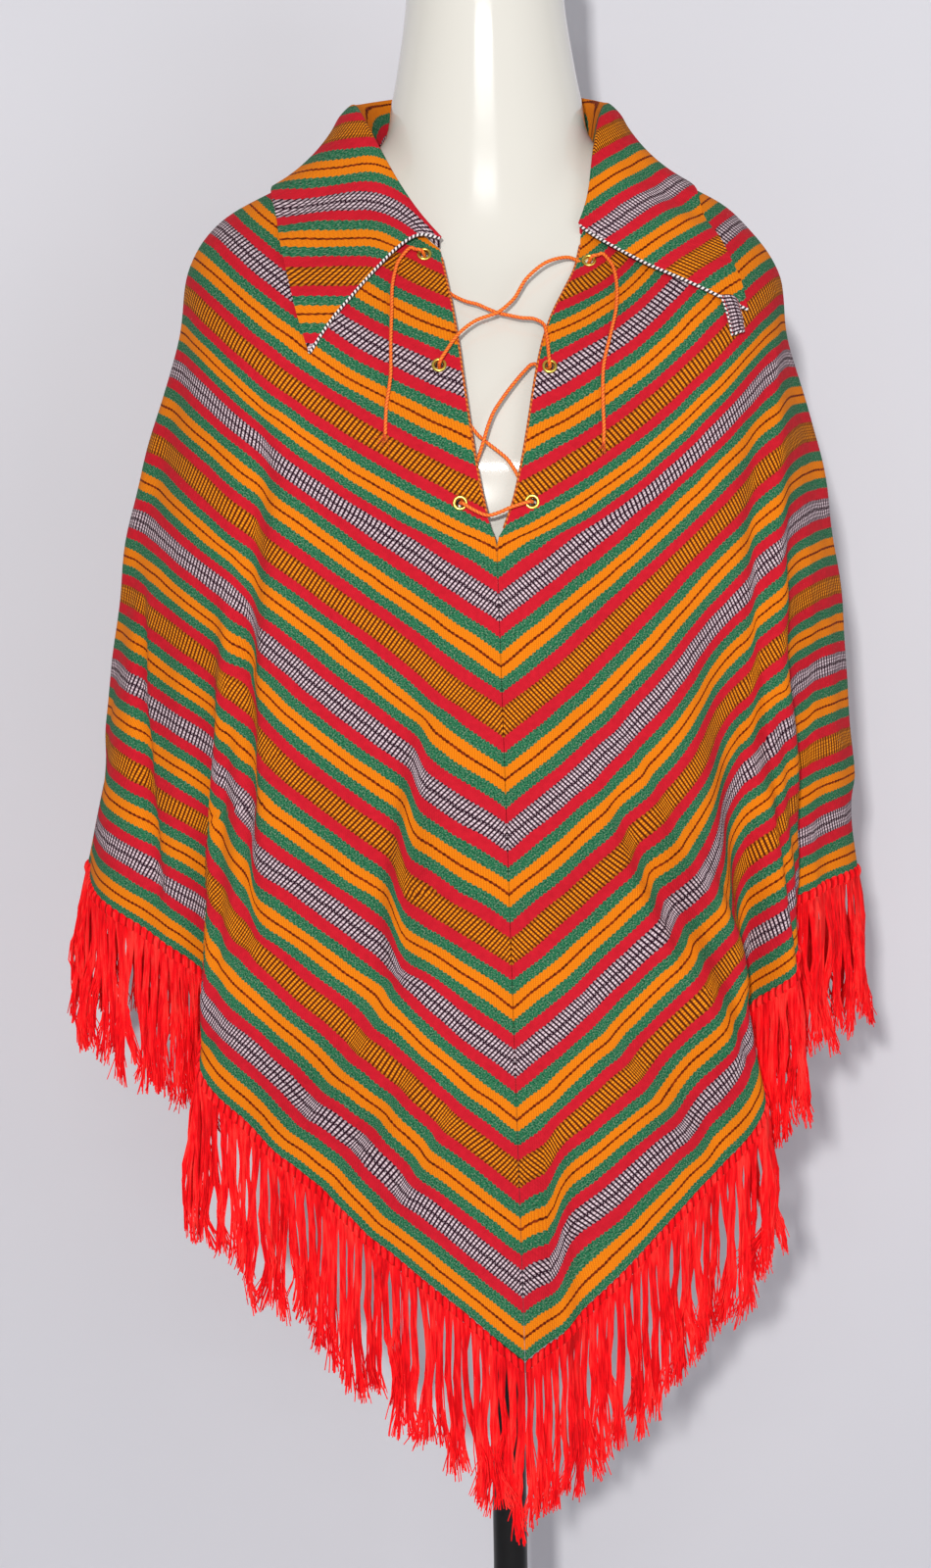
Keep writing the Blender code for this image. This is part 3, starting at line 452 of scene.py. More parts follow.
def unit(vectors):
    """Vectors of length 1 in the same directions."""
    return vectors / np.maximum(np.linalg.norm(vectors, axis=-1, keepdims=True), 1e-9)


def grid_normals(points):
    """Normals of a grid whose rows run down and whose columns run from front to back."""
    return unit(np.cross(np.gradient(points, axis=1), np.gradient(points, axis=0)))


def ease(value):
    """0 up to 0 and 1 from 1 on, with a smooth way between."""
    value = np.clip(value, 0, 1)
    return value * value * (3 - 2 * value)


def quads_between(index, around):
    """Four-sided faces between the rows of a grid of point numbers, whose rows may be rings."""
    low, high = index[..., :-1, :], index[..., 1:, :]
    if around:
        corners = [low, np.roll(low, -1, axis=-1), np.roll(high, -1, axis=-1), high]
    else:
        corners = [low[:, :-1], low[:, 1:], high[:, 1:], high[:, :-1]]
    return np.stack(corners, axis=-1).reshape(-1, 4)


def ring_faces(rings, sides, closed=False):
    """Faces of a solid made of rings, capped at both ends or joined from the last to the first."""
    index = np.arange(rings * sides).reshape(rings, sides)
    if closed:
        return quads_between(np.concatenate([index, index[:1]]), True).tolist()
    return quads_between(index, True).tolist() + [index[0].tolist(), index[-1].tolist()]


def run_lengths(points, axis=0):
    """Length along lines of points, up to each point. The axis is the one that a line runs along."""
    steps = np.cumsum(np.linalg.norm(np.diff(points, axis=axis), axis=-1), axis=axis)
    return np.concatenate([np.zeros_like(np.take(steps, [0], axis=axis)), steps], axis=axis)


def read_line(places, along, values):
    """Values of a line of points at places along it."""
    return np.stack([np.interp(places, along, values[:, i]) for i in range(values.shape[1])], axis=-1)


def section_loops(side, levels):
    """Each section of one half, from centre front round the side to centre back."""
    values = through([row[1:] for row in SECTIONS], levels)[..., None]
    front_out, front_z, left_out, right_out, side_z, back_out, back_z, square = np.moveaxis(values, 1, 0)
    angle = np.linspace(0, math.pi, LOOP_POINTS)[None, :]
    along = np.cos(angle)
    across = np.sin(angle)
    reach = left_out if side < 0 else right_out
    x = side * reach * np.abs(across) ** (2 / square)
    y = -np.where(along > 0, front_out, back_out) * np.sign(along) * np.abs(along) ** (2 / square)
    z = side_z + (np.where(along > 0, front_z, back_z) - side_z) * along**2
    return np.stack([x + 0 * z, y + 0 * z, z + 0 * x], axis=-1)


def slit_gap(side, z):
    """How far one edge of the open slit stands from the axis at a height."""
    top = SECTIONS[0][2] + SLIT_ABOVE_NECK
    part = np.clip((z - SLIT_TIP) / (top - SLIT_TIP), 0, 1)
    return SLIT_SPREAD[side] * part**SPREAD_POWER + SLIT_FLARE[side] * part**FLARE_POWER


def neck_distance(angle):
    """Flat distance from the cut-off tip to the neck edge, along a ray of the cut."""
    part = np.abs(angle) / CUT_HALF_ANGLE
    end = np.where(angle < 0, NECK_FRONT, NECK_BACK)
    return NECK_SIDE + (end - NECK_SIDE) * part**2


def draped_panel(side):
    """The middle of one panel's cloth, as points on a grid of sections and rays of the cut, and
    the flat distance of each from the cut-off tip."""
    levels = np.linspace(0, len(SECTIONS) - 1, LEVEL_STEPS + 1)
    rays = np.linspace(0, 1, COLUMN_STEPS + 1)
    angles = (2 * rays - 1) * CUT_HALF_ANGLE
    loops = section_loops(side, levels)
    outward = -grid_normals(loops) * side
    lengths = run_lengths(loops, 1)
    starts = np.empty(len(levels))
    for i, loop in enumerate(loops):
        gap = slit_gap(side, loop[0, 2])
        starts[i] = np.interp(gap, np.abs(loop[: LOOP_POINTS // 2, 0]), lengths[i, : LOOP_POINTS // 2])

    def lay(places):
        points = np.empty((len(levels), len(rays), 3))
        normals = np.empty_like(points)
        for i in range(len(levels)):
            points[i] = read_line(places[i], lengths[i], loops[i])
            normals[i] = read_line(places[i], lengths[i], outward[i])
        return points, unit(normals)

    room = lengths[:, -1] - starts
    points, _ = lay(starts[:, None] + room[:, None] * rays)
    distance = neck_distance(angles) + run_lengths(points)
    widths = 0.5 * (distance[:, 1:] + distance[:, :-1]) * np.diff(angles)
    cloth = np.concatenate([np.zeros((len(levels), 1)), np.cumsum(widths, axis=1)], axis=1)
    excess = np.maximum(cloth[:, -1] - room, 0)
    stretch = np.where(excess > 0, 1, room / cloth[:, -1])
    places = starts[:, None] + cloth * stretch[:, None]
    relief = np.zeros_like(places)
    growth = excess / FULL_EXCESS
    for fold_side, centre, half_width, share, depth in FOLDS:
        if fold_side == side:
            across = (rays - centre) / half_width
            inside = np.clip(1 - across**2, 0, 1)
            places -= excess[:, None] * share * ease((across + 1) / 2)
            relief -= growth[:, None] * depth * across * inside**FOLD_POWER / FOLD_PEAK
    points, normals = lay(places)
    points = points + normals * relief[..., None]
    fall = np.clip((DRIFT_TOP - points[..., 2]) / DRIFT_HEIGHT, 0, 1)
    facing = np.clip(-points[..., 1] / DRIFT_DEPTH, 0, 1)
    points[..., 0] += SEAM_DRIFT * fall * facing + side * GAP / 2
    distance = neck_distance(angles) + run_lengths(points)
    if side > 0:
        away = np.linalg.norm(points - NECK_PULL_PLACE, axis=-1, keepdims=True)
        points = points + NECK_PULL * np.exp(-((away / NECK_PULL_REACH) ** 2))
    return {"side": side, "points": points, "distance": distance, "angles": angles}


def match_seams(left, right):
    """Shift the right panel's flat distances near both seams, so that stripes and hems meet."""
    rays = np.linspace(0, 1, COLUMN_STEPS + 1)
    for column, near in ((0, rays), (-1, 1 - rays)):
        reads = []
        for panel in (left, right):
            drop = -panel["points"][:, column, 2]
            reads.append(np.interp(-SEAM_HEIGHT, drop, panel["distance"][:, column]))
        right["distance"] = right["distance"] - (reads[1] - reads[0]) * ease(1 - near / SEAM_REACH)


def read_ray(panel, ray, down):
    """Points on one ray of the cut, at distances from the neck."""
    place = np.clip(ray, 0, 1) * COLUMN_STEPS
    low = min(int(place), COLUMN_STEPS - 1)
    mix = place - low
    column = panel["points"][:, low] * (1 - mix) + panel["points"][:, low + 1] * mix
    distance = panel["distance"][:, low] * (1 - mix) + panel["distance"][:, low + 1] * mix
    return read_line(distance[0] + np.asarray(down), distance, column)


def panel_frame(panel, ray, down, step=0.003):
    """A point on the panel, its outward normal and the direction down its ray."""
    point = read_ray(panel, ray, down)
    low = max(down - step, 0)
    fall = unit(read_ray(panel, ray, low + 2 * step) - read_ray(panel, ray, low))
    ahead = read_ray(panel, min(ray + 0.01, 1), down)
    behind = read_ray(panel, max(ray - 0.01, 0), down)
    return point, -unit(np.cross(ahead - behind, fall)) * panel["side"], fall


def eyelet_frame(panel, row):
    """Centre and outward direction of an eyelet."""
    down = EYELET_DOWN[panel["side"]][row]
    edge = read_ray(panel, 0, down)
    ray = EYELET_FIRST_RAY
    while np.linalg.norm(read_ray(panel, ray, down) - edge) < EYELET_IN[panel["side"]][row]:
        ray += EYELET_RAY_STEP
    centre, normal, _ = panel_frame(panel, ray, down, step=EYELET_SPAN)
    return centre, normal


def crease(along, fall, height, near, far, line):
    """Heights of one soft ridge or trough on the flat cloth, and how far it draws the cloth in on
    both sides. Near and far are its widths on the two sides of its line."""
    best = np.full(along.shape, 9.0)
    width = np.full(along.shape, near)
    run = np.zeros(along.shape)
    away = np.zeros((*along.shape, 2))
    ends = run_lengths(np.array(line))
    for i in range(len(line) - 1):
        start, step = np.array(line[i]), np.subtract(line[i + 1], line[i])
        offset = along - start[0], fall - start[1]
        share = np.clip((offset[0] * step[0] + offset[1] * step[1]) / (step @ step), 0, 1)
        reach = np.stack([offset[0] - share * step[0], offset[1] - share * step[1]], axis=-1)
        distance = np.linalg.norm(reach, axis=-1)
        beside = step[0] * offset[1] - step[1] * offset[0]
        closer = distance < best
        best = np.where(closer, distance, best)
        width = np.where(closer, np.where(beside > 0, near, far), width)
        away = np.where(closer[..., None], reach, away)
        run = np.where(closer, (ends[i] + share * (ends[i + 1] - ends[i])) / ends[-1], run)
    fade = np.sin(math.pi * (CREASE_START + CREASE_SPAN * run)) ** CREASE_BLUNT
    draw = DRAW_SHARE * abs(height) * fade * np.tanh(best / DRAW_WIDTH) * np.exp(-best / DRAW_REACH)
    return height * fade * np.exp(-((best / width) ** 2)), unit(away) * draw[..., None]


def fine_cloth(panel):
    """The cloth that is seen: rows from neck to hem and some past it, with creases, and each
    point's place on the flat cut."""
    angles = panel["angles"]
    beyond = CUT_DEPTH + np.array((0.0, *PAST_HEM))
    neck = panel["distance"][0]
    parts = np.linspace(0, 1, CLOTH_ROWS + 1)[:, None]
    reach = neck + parts * (CUT_DEPTH / np.cos(angles) - neck)
    reach = np.concatenate([reach, beyond[1:, None] / np.cos(angles)])
    points = np.empty((*reach.shape, 3))
    for i in range(len(angles)):
        points[:, i] = read_line(reach[:, i], panel["distance"][:, i], panel["points"][:, i])
    along = reach * np.sin(angles)
    fall = reach * np.cos(angles)
    from_seam = reach * np.sin(CUT_HALF_ANGLE - np.abs(angles))
    relief = np.zeros_like(reach)
    drawn = np.zeros((*reach.shape, 2))
    for height, near, far, line in CREASES[panel["side"]]:
        raised, shift = crease(along, fall, height, near, far, line)
        relief += raised
        drawn += shift
    for height, wide, tall, start in RIPPLES:
        phase = start * (2 + panel["side"])
        relief += height * np.sin(2 * math.pi * (wide * along + tall * fall) + phase)
    free = ease(from_seam / SEAM_FADE) * ease((fall - NECK_CALM) / NECK_FADE)
    relief *= free
    drawn *= (free * ease((CUT_DEPTH - fall) / HEM_FADE))[..., None]
    closed = points[..., 2] < SLIT_TIP
    relief -= np.where(closed, SEAM_DIP * np.exp(-((from_seam / SEAM_DIP_WIDTH) ** 2)), 0)
    normals = -grid_normals(points) * panel["side"]
    normals[:, -1, 0] = 0
    normals[closed[:, 0], 0, 0] = 0
    points = points + unit(normals) * relief[..., None]
    return points, np.stack([along, fall], axis=-1) + drawn


class Look:
    """A material whose nodes are put together step by step."""

    def __init__(self, name, roughness=0.5, metallic=0.0, specular=0.5):
        self.made = bpy.data.materials.new(name)
        self.made.use_nodes = True
        self.tree = self.made.node_tree
        self.shader = self.tree.nodes["Principled BSDF"]
        self.set("Roughness", roughness)
        self.set("Metallic", metallic)
        self.set("Specular IOR Level", specular)

    def set(self, title, source):
        self.feed(self.shader.inputs[title], source)

    def feed(self, socket, source):
        if isinstance(source, bpy.types.NodeSocket):
            self.tree.links.new(source, socket)
        else:
            socket.default_value = source

    def put(self, kind, sources=(), **settings):
        node = self.tree.nodes.new(kind)
        for title, value in settings.items():
            setattr(node, title, value)
        for i, source in enumerate(sources):
            self.feed(node.inputs[i], source)
        return node

    def math(self, operation, *sources):
        return self.put("ShaderNodeMath", sources, operation=operation).outputs[0]

    def step(self, value, edge, slope):
        """0 below an edge and 1 above it, over a short way."""
        raised = self.math("MULTIPLY", self.math("SUBTRACT", value, edge), slope)
        return self.put("ShaderNodeMath", (raised, 0.5), operation="ADD", use_clamp=True).outputs[0]

    def mix(self, share, first, second):
        node = self.put("ShaderNodeMix", data_type="RGBA")
        for place, source in ((0, share), (6, first), (7, second)):
            value = (*source, 1) if isinstance(source, tuple) else source
            self.feed(node.inputs[place], value)
        return node.outputs[2]

    def noise(self, scale, vector, detail=2.0):
        node = self.put("ShaderNodeTexNoise")
        node.inputs["Scale"].default_value = scale
        node.inputs["Detail"].default_value = detail
        self.feed(node.inputs["Vector"], vector)
        return node.outputs[0]

    def ramp(self, source, stops, interpolation="LINEAR"):
        node = self.put("ShaderNodeValToRGB", (source,))
        node.color_ramp.interpolation = interpolation
        elements = node.color_ramp.elements
        while len(elements) < len(stops):
            elements.new(0.5)
        for element, (place, colour) in zip(elements, stops):
            element.position = place
            element.color = (*colour, 1)
        return node.outputs[0]

    def bump(self, height, strength, distance):
        node = self.put("ShaderNodeBump")
        node.inputs["Strength"].default_value = strength
        node.inputs["Distance"].default_value = distance
        self.feed(node.inputs["Height"], height)
        self.set("Normal", node.outputs[0])

    def nap(self, weight, roughness, tint):
        """Short fibres that catch the light at the edges."""
        self.shader.inputs["Sheen Weight"].default_value = weight
        self.shader.inputs["Sheen Roughness"].default_value = roughness
        self.shader.inputs["Sheen Tint"].default_value = (*tint, 1)


def dash(look, value, pitch, share, slope=9.0):
    """1 on even dashes along a value, 0 between them."""
    part = look.math("FRACT", look.math("DIVIDE", value, pitch))
    away = look.math("ABSOLUTE", look.math("SUBTRACT", part, 0.5))
    return look.step(look.math("SUBTRACT", share / 2, away), 0.0, slope)


def striped_cloth():
    """Striped wool, drawn from each point's place on the flat cut: x along the stripes and y down."""
    look = Look("striped_wool", roughness=0.92, specular=0.06)
    flat = look.put("ShaderNodeUVMap").outputs[0]
    split = look.put("ShaderNodeSeparateXYZ", (flat,))
    along, fall = split.outputs[0], split.outputs[1]
    wander = look.math("MULTIPLY", look.math("SUBTRACT", look.noise(38, flat), 0.5), 0.0026)
    fall_off = look.math("ADD", fall, wander)
    place = look.math("DIVIDE", look.math("SUBTRACT", CUT_DEPTH - STRIPE_START, fall_off), STRIPE_PITCH)
    part = look.math("FRACT", place)
    signed = look.math("SUBTRACT", part, 0.5)
    away = look.math("ABSOLUTE", signed)
    teeth = look.math("SUBTRACT", look.math("DIVIDE", look.math("PINGPONG", along, TEETH), TEETH), 0.5)
    edge = look.math("MULTIPLY_ADD", teeth, 0.017, away)

    diagonal = look.math("ADD", along, fall)
    mesh = dash(look, diagonal, MESH_PITCH, 0.34, 4.0)
    counter = dash(look, look.math("SUBTRACT", along, fall), MESH_PITCH, 0.30, 4.0)
    lines = look.math("MAXIMUM", mesh, look.math("MULTIPLY", counter, 0.6))
    orange = look.mix(look.math("MULTIPLY", lines, 0.55), (0.88, 0.245, 0.006), (0.54, 0.080, 0.003))
    specks = look.noise(1000, flat, 1.0)
    green = look.ramp(
        specks,
        (
            (0.34, (0.010, 0.060, 0.030)),
            (0.45, (0.018, 0.150, 0.066)),
            (0.57, (0.030, 0.185, 0.085)),
            (0.66, (0.18, 0.24, 0.16)),
        ),
    )
    soft = look.noise(240, flat, 3.0)
    red = look.mix(soft, (0.46, 0.008, 0.020), (0.70, 0.016, 0.032))
    twisted = look.step(look.noise(500, flat, 0.0), 0.5, 6.0)
    brown = look.mix(twisted, (0.10, 0.012, 0.003), (0.26, 0.030, 0.004))

    # The dashed band: rows of dashes on each side of a black zigzag line
    from_line = look.math("MULTIPLY", away, STRIPE_PITCH)
    zigzag = look.math("SUBTRACT", look.math("PINGPONG", along, ZIGZAG), ZIGZAG / 2)
    line = look.math("ABSOLUTE", look.math("ADD", look.math("MULTIPLY", signed, STRIPE_PITCH), zigzag))
    row_place = look.math("SUBTRACT", from_line, DASH_START)
    golden = look.math("FLOORED_MODULO", look.math("FLOOR", place), 2.0)
    rows = dash(look, row_place, DASH_ROW, 0.74, 7.0)
    rows = look.math("MAXIMUM", rows, look.math("MULTIPLY_ADD", golden, 0.15, 0.30))
    columns = dash(look, along, DASH_PITCH, 0.52, 7.0)
    outer = look.step(from_line, DASH_THIN, 2500.0)
    dots = look.math("MULTIPLY", rows, columns)
    thin = look.math("MULTIPLY", dots, look.math("SUBTRACT", 1.0, look.math("MULTIPLY", outer, 0.45)))
    clear = look.math("MAXIMUM", look.step(line, LINE_HALF, 3000.0), golden)
    shown = look.math("MULTIPLY", thin, clear)
    uneven = look.noise(430, flat, 1.0)
    white = look.mix(uneven, (0.62, 0.42, 0.48), (0.96, 0.82, 0.86))
    gold = look.mix(uneven, (0.84, 0.21, 0.006), (1.0, 0.38, 0.015))
    light = look.mix(golden, white, gold)
    dark = look.mix(golden, (0.022, 0.004, 0.013), (0.105, 0.014, 0.003))
    band = look.mix(shown, dark, light)

    base = look.mix(look.step(edge, BAND_HALF, 400.0), band, red)
    base = look.mix(look.step(edge, RED_HALF, 300.0), base, green)
    base = look.mix(look.step(edge, GREEN_HALF, 200.0), base, orange)
    jagged = look.math("MULTIPLY_ADD", teeth, 0.010, away)
    base = look.mix(look.step(jagged, ORANGE_HALF, 300.0), base, brown)
    worn = look.math("MULTIPLY_ADD", look.noise(9, flat, 2.0), 0.24, 0.70)
    shade = look.put("ShaderNodeVectorMath", operation="SCALE")
    look.feed(shade.inputs[0], base)
    look.feed(shade.inputs["Scale"], worn)
    look.set("Base Color", shade.outputs[0])

    twill = look.math("DIVIDE", look.math("PINGPONG", diagonal, TEETH / 2), TEETH / 2)
    cross = look.math("DIVIDE", look.math("PINGPONG", along, ZIGZAG), ZIGZAG)
    height = look.math("ADD", look.math("MULTIPLY", twill, 0.6), look.math("MULTIPLY", cross, 0.4))
    height = look.math("ADD", height, look.math("MULTIPLY", shown, 0.5))
    height = look.math("ADD", height, look.math("MULTIPLY", look.noise(320, flat, 2.0), 0.8))
    look.bump(height, 0.55, 0.0005)
    look.nap(0.03, 0.5, (1.0, 0.75, 0.6))
    return look.made


def red_yarn(name, puffed):
    """Bright red wool, streaked along its yarns, with a faint painted glow. The puffed one has painted
    shade between its puffs.
    """
    look = Look(name, roughness=0.9, specular=0.05)
    place = look.put("ShaderNodeTexCoord").outputs["Object"]
    drawn = look.put("ShaderNodeVectorMath", (place, (1.0, 1.0, 0.08)), operation="MULTIPLY").outputs[0]
    fibre = look.noise(620, drawn, 1.0)
    lock = look.noise(150, drawn, 1.0)
    tone = look.math("ADD", look.math("MULTIPLY", fibre, 0.55), look.math("MULTIPLY", lock, 0.45))
    colour = look.ramp(
        tone,
        ((0.36, (0.60, 0.002, 0.006)), (0.50, (0.94, 0.006, 0.011)), (0.64, (1.0, 0.036, 0.030))),
    )
    if puffed:
        # Painted shade: the heading is coloured dark red in the gaps between its puffs, where shade
        # falls.
        along = look.put("ShaderNodeSeparateXYZ", (look.put("ShaderNodeUVMap").outputs[0],)).outputs[1]
        puff = dash(look, along, PUFF_PITCH, 0.72, 4.0)
        colour = look.mix(puff, (0.30, 0.002, 0.004), colour)
    look.set("Base Color", colour)
    # Painted glow: the yarn gives off a little light in its own colour, so it looks brighter than the
    # lamps make it.
    look.set("Emission Color", colour)
    look.shader.inputs["Emission Strength"].default_value = 0.06
    look.shader.inputs["Subsurface Weight"].default_value = 0.2
    look.shader.inputs["Subsurface Radius"].default_value = (1.0, 0.1, 0.1)
    look.shader.inputs["Subsurface Scale"].default_value = 0.002
    look.bump(fibre, 0.5, 0.0005)
    look.nap(0.05, 0.6, (1.0, 0.3, 0.2))
    return look.made


def laid_cord(name, pale, deep):
    """Three strands laid round each other: the tube's x runs round the strands."""
    look = Look(name, roughness=0.65, specular=0.3)
    flat = look.put("ShaderNodeUVMap").outputs[0]
    turn = look.put("ShaderNodeSeparateXYZ", (flat,)).outputs[0]
    strand = look.math("FRACT", turn)
    one = look.step(strand, 0.60, 12.0)
    place = look.put("ShaderNodeTexCoord").outputs["Object"]
    fibre = look.noise(900, place, 2.0)
    bright = look.mix(fibre, pale, (0.92, 0.27, 0.02))
    shaded = look.mix(fibre, deep, (0.8, 0.07, 0.02))
    colour = look.mix(one, bright, shaded)
    look.set("Base Color", colour)
    look.bump(fibre, 0.4, 0.0003)
    look.nap(0.03, 0.5, (1.0, 0.6, 0.3))
    return look.made


def stitched_edge(name, pale, deep, pitch):
    """A narrow edging with short stitches over it: the tube's y runs along it."""
    look = Look(name, roughness=0.85, specular=0.15)
    flat = look.put("ShaderNodeUVMap").outputs[0]
    split = look.put("ShaderNodeSeparateXYZ", (flat,))
    slanted = look.math("MULTIPLY_ADD", split.outputs[0], pitch * 0.8, split.outputs[1])
    stitch = dash(look, slanted, pitch, 0.5, 5.0)
    look.set("Base Color", look.mix(stitch, deep, pale))
    look.bump(stitch, 0.5, 0.0004)
    look.nap(0.15, 0.5, (1.0, 0.9, 0.85))
    return look.made


def plain_look(name, colour, roughness, metallic=0.0, coat=0.0, uneven=0.0, scale=40.0, specular=0.5):
    """One colour, a little uneven in tone and gloss."""
    look = Look(name, roughness=roughness, metallic=metallic, specular=specular)
    place = look.put("ShaderNodeTexCoord").outputs["Object"]
    spread = look.noise(scale, place, 3.0)
    darker = tuple(channel * (1 - uneven) for channel in colour)
    look.set("Base Color", look.mix(spread, darker, colour))
    rough = look.math("MULTIPLY_ADD", spread, 0.10, roughness - 0.05)
    look.set("Roughness", rough)
    look.shader.inputs["Coat Weight"].default_value = coat
    look.shader.inputs["Coat Roughness"].default_value = 0.05
    return look.made


def add_piece(name, points, faces, look, flat=None, sharp=None):
    """One object on the part, its faces turned outward, with its place on the flat cut if given."""
    mesh = bpy.data.meshes.new(name)
    mesh.from_pydata(np.asarray(points).reshape(-1, 3).tolist(), [], faces)
    if flat is not None:
        layer = mesh.uv_layers.new(name="flat")
        corners = np.empty(len(mesh.loops), np.int32)
        mesh.loops.foreach_get("vertex_index", corners)
        layer.data.foreach_set("uv", np.asarray(flat, np.float32).reshape(-1, 2)[corners].ravel())
    work = bmesh.new()
    work.from_mesh(mesh)
    bmesh.ops.recalc_face_normals(work, faces=work.faces)
    work.to_mesh(mesh)
    work.free()
    mesh.materials.append(look)
    mesh.shade_smooth()
    if sharp:
        mesh.set_sharp_from_angle(angle=math.radians(sharp))
    made = bpy.data.objects.new(name, mesh)
    bpy.context.scene.collection.objects.link(made)
    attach(made, "root")
    return made


def add_shell(name, middle, normals, thickness, look, flat):
    """A sheet of even thickness round a grid of middle points."""
    rows, columns = middle.shape[:2]
    count = rows * columns
    half = normals * thickness / 2
    points = np.concatenate([(middle + half).reshape(-1, 3), (middle - half).reshape(-1, 3)])
    index = np.arange(count).reshape(rows, columns)
    quads = quads_between(index, False)
    rim = np.concatenate([index[:, 0], index[-1, 1:], index[-2::-1, -1], index[0, -2:0:-1]])
    after = np.roll(rim, -1)
    edges = np.stack([rim, after, after + count, rim + count], axis=-1)
    faces = np.concatenate([quads, quads[:, ::-1] + count, edges]).tolist()
    flats = np.concatenate([flat.reshape(-1, 2)] * 2)
    return add_piece(name, points, faces, look, flats, sharp=60)


def swept(paths, first, second, width, depth, sides, turns=None):
    """Tubes round lines of points, with their points' places round and along each tube."""
    count, steps = paths.shape[:2]
    angle = 2 * math.pi * np.arange(sides) / sides
    if turns is None:
        scale = np.ones((count, steps, sides))
    else:
        scale = 1 - LAY_DEPTH + LAY_DEPTH * np.cos(3 * (angle - turns[..., None]))
    across = (width[..., None] * scale * np.cos(angle))[..., None] * first[:, :, None]
    out = (depth[..., None] * scale * np.sin(angle))[..., None] * second[:, :, None]
    points = paths[:, :, None] + across + out
    index = np.arange(count * steps * sides).reshape(count, steps, sides)
    faces = quads_between(index, True).tolist()
    if sides > 3:
        for tube in index:
            faces += [tube[0].tolist(), tube[-1].tolist()]
    rounds = angle / (2 * math.pi) + np.zeros((count, steps, 1))
    if turns is not None:
        rounds = 3 * (angle - turns[..., None]) / (2 * math.pi)
    flat = np.stack([rounds, run_lengths(paths, 1)[..., None] + 0 * rounds], axis=-1)
    return points.reshape(-1, 3), faces, flat.reshape(-1, 2)


def carried_axes(path):
    """Two cross directions at each point of a line, turned as little as possible along it."""
    along = unit(np.gradient(path, axis=0))
    first = np.empty_like(path)
    start = np.array((1.0, 0.0, 0.0)) if abs(along[0, 0]) < 0.8 else np.array((0.0, 1.0, 0.0))
    for i, direction in enumerate(along):
        start = unit(start - direction * (start @ direction))
        first[i] = start
    return first, np.cross(along, first)


def add_tube(name, path, radius, look, sides=10, twist=None):
    """One round tube along a line of points. With a twist it is a laid cord of three strands."""
    first, second = carried_axes(path)
    radii = np.full((1, len(path)), radius)
    turns = None if twist is None else (2 * math.pi * run_lengths(path) / twist)[None]
    made = swept(path[None], first[None], second[None], radii, radii, sides, turns)
    return add_piece(name, made[0], made[1], look, made[2])


def turned(place, axis):
    """A matrix that carries +Z to an axis at a place."""
    return Matrix.Translation(Vector(place)) @ Vector(axis).to_track_quat("Z", "Y").to_matrix().to_4x4()


def add_turned(name, profile, sides, look, place=(0, 0, 0), axis=(0, 0, 1), closed=False):
    """A profile of (radius, height) pairs turned round an axis."""
    angle = 2 * math.pi * np.arange(sides) / sides
    profile = np.array(profile)
    x = profile[:, :1] * np.cos(angle)
    y = profile[:, :1] * np.sin(angle)
    points = np.stack([x, y, profile[:, 1:] + 0 * x], axis=-1).reshape(-1, 3)
    matrix = np.array(turned(place, axis))
    points = points @ matrix[:3, :3].T + matrix[:3, 3]
    return add_piece(name, points, ring_faces(len(profile), sides, closed), look, sharp=40)


def smooth_path(points, step):
    """A smooth curve through all of a list of points, and the place of each listed point on it."""
    path = [points[0]]
    marks = [0]
    for i in range(len(points) - 1):
        count = max(int(round(math.dist(points[i], points[i + 1]) / step)), 1)
        path += list(through(points, i + np.arange(1, count + 1) / count))
        marks.append(len(path) - 1)
    return np.array(path), marks


def across_slit(left, right, down, share, height):
    """A point in the open slit, between the two edges of the cloth."""
    edges = read_ray(left, 0, down), read_ray(right, 0, down + SLIT_STAGGER)
    return edges[0] * (1 - share) + edges[1] * share - np.array((0, height, 0))


def through_eyelet(panel, row, before, after, outward):
    """Three points that take the lace through an eyelet, out of the cloth or into it."""
    centre, normal = eyelet_frame(panel, row)
    away = normal if outward else -normal
    near = unit(before - centre)
    near = unit(near - normal * np.dot(near, normal))
    far = unit(after - centre)
    far = unit(far - normal * np.dot(far, normal))
    rise = LACE_FRONT_RISE if outward else LACE_BACK_RISE
    dip = LACE_BACK_RISE if outward else LACE_FRONT_RISE
    return [centre - away * dip + near * LACE_ASIDE, centre, centre + away * rise + far * LACE_ASIDE]


def lace_points(left, right):
    """The lace's route from its left free end to its right one, and where its free ends begin."""

    def slit(rows):
        return [across_slit(left, right, *row) for row in rows]

    def lie(panel, rows):
        frames = [panel_frame(panel, *row, LACE_SPAN) for row in rows]
        return [place + out * LACE_OVER for place, out, _ in frames]

    top, middle, bottom = 0, 1, 2
    left_end = lie(left, LEFT_END)
    right_end = lie(right, RIGHT_END)
    first = slit(FROM_LEFT_TOP)
    second = slit(FROM_RIGHT_MIDDLE)
    bar = slit(BAR)
    third = slit(FROM_RIGHT_BOTTOM)
    fourth = slit(FROM_LEFT_MIDDLE)
    route = left_end + through_eyelet(left, top, left_end[-1], first[0], False) + first
    exit_left = len(left_end)
    route += through_eyelet(right, middle, first[-1], second[0], False) + second
    route += through_eyelet(left, bottom, second[-1], bar[0], True) + bar
    route += through_eyelet(right, bottom, bar[-1], third[0], False) + third
    route += through_eyelet(left, middle, third[-1], fourth[0], True) + fourth
    route += through_eyelet(right, top, fourth[-1], right_end[0], True)
    exit_right = len(route) - 1
    return route + right_end, (exit_left, exit_right)


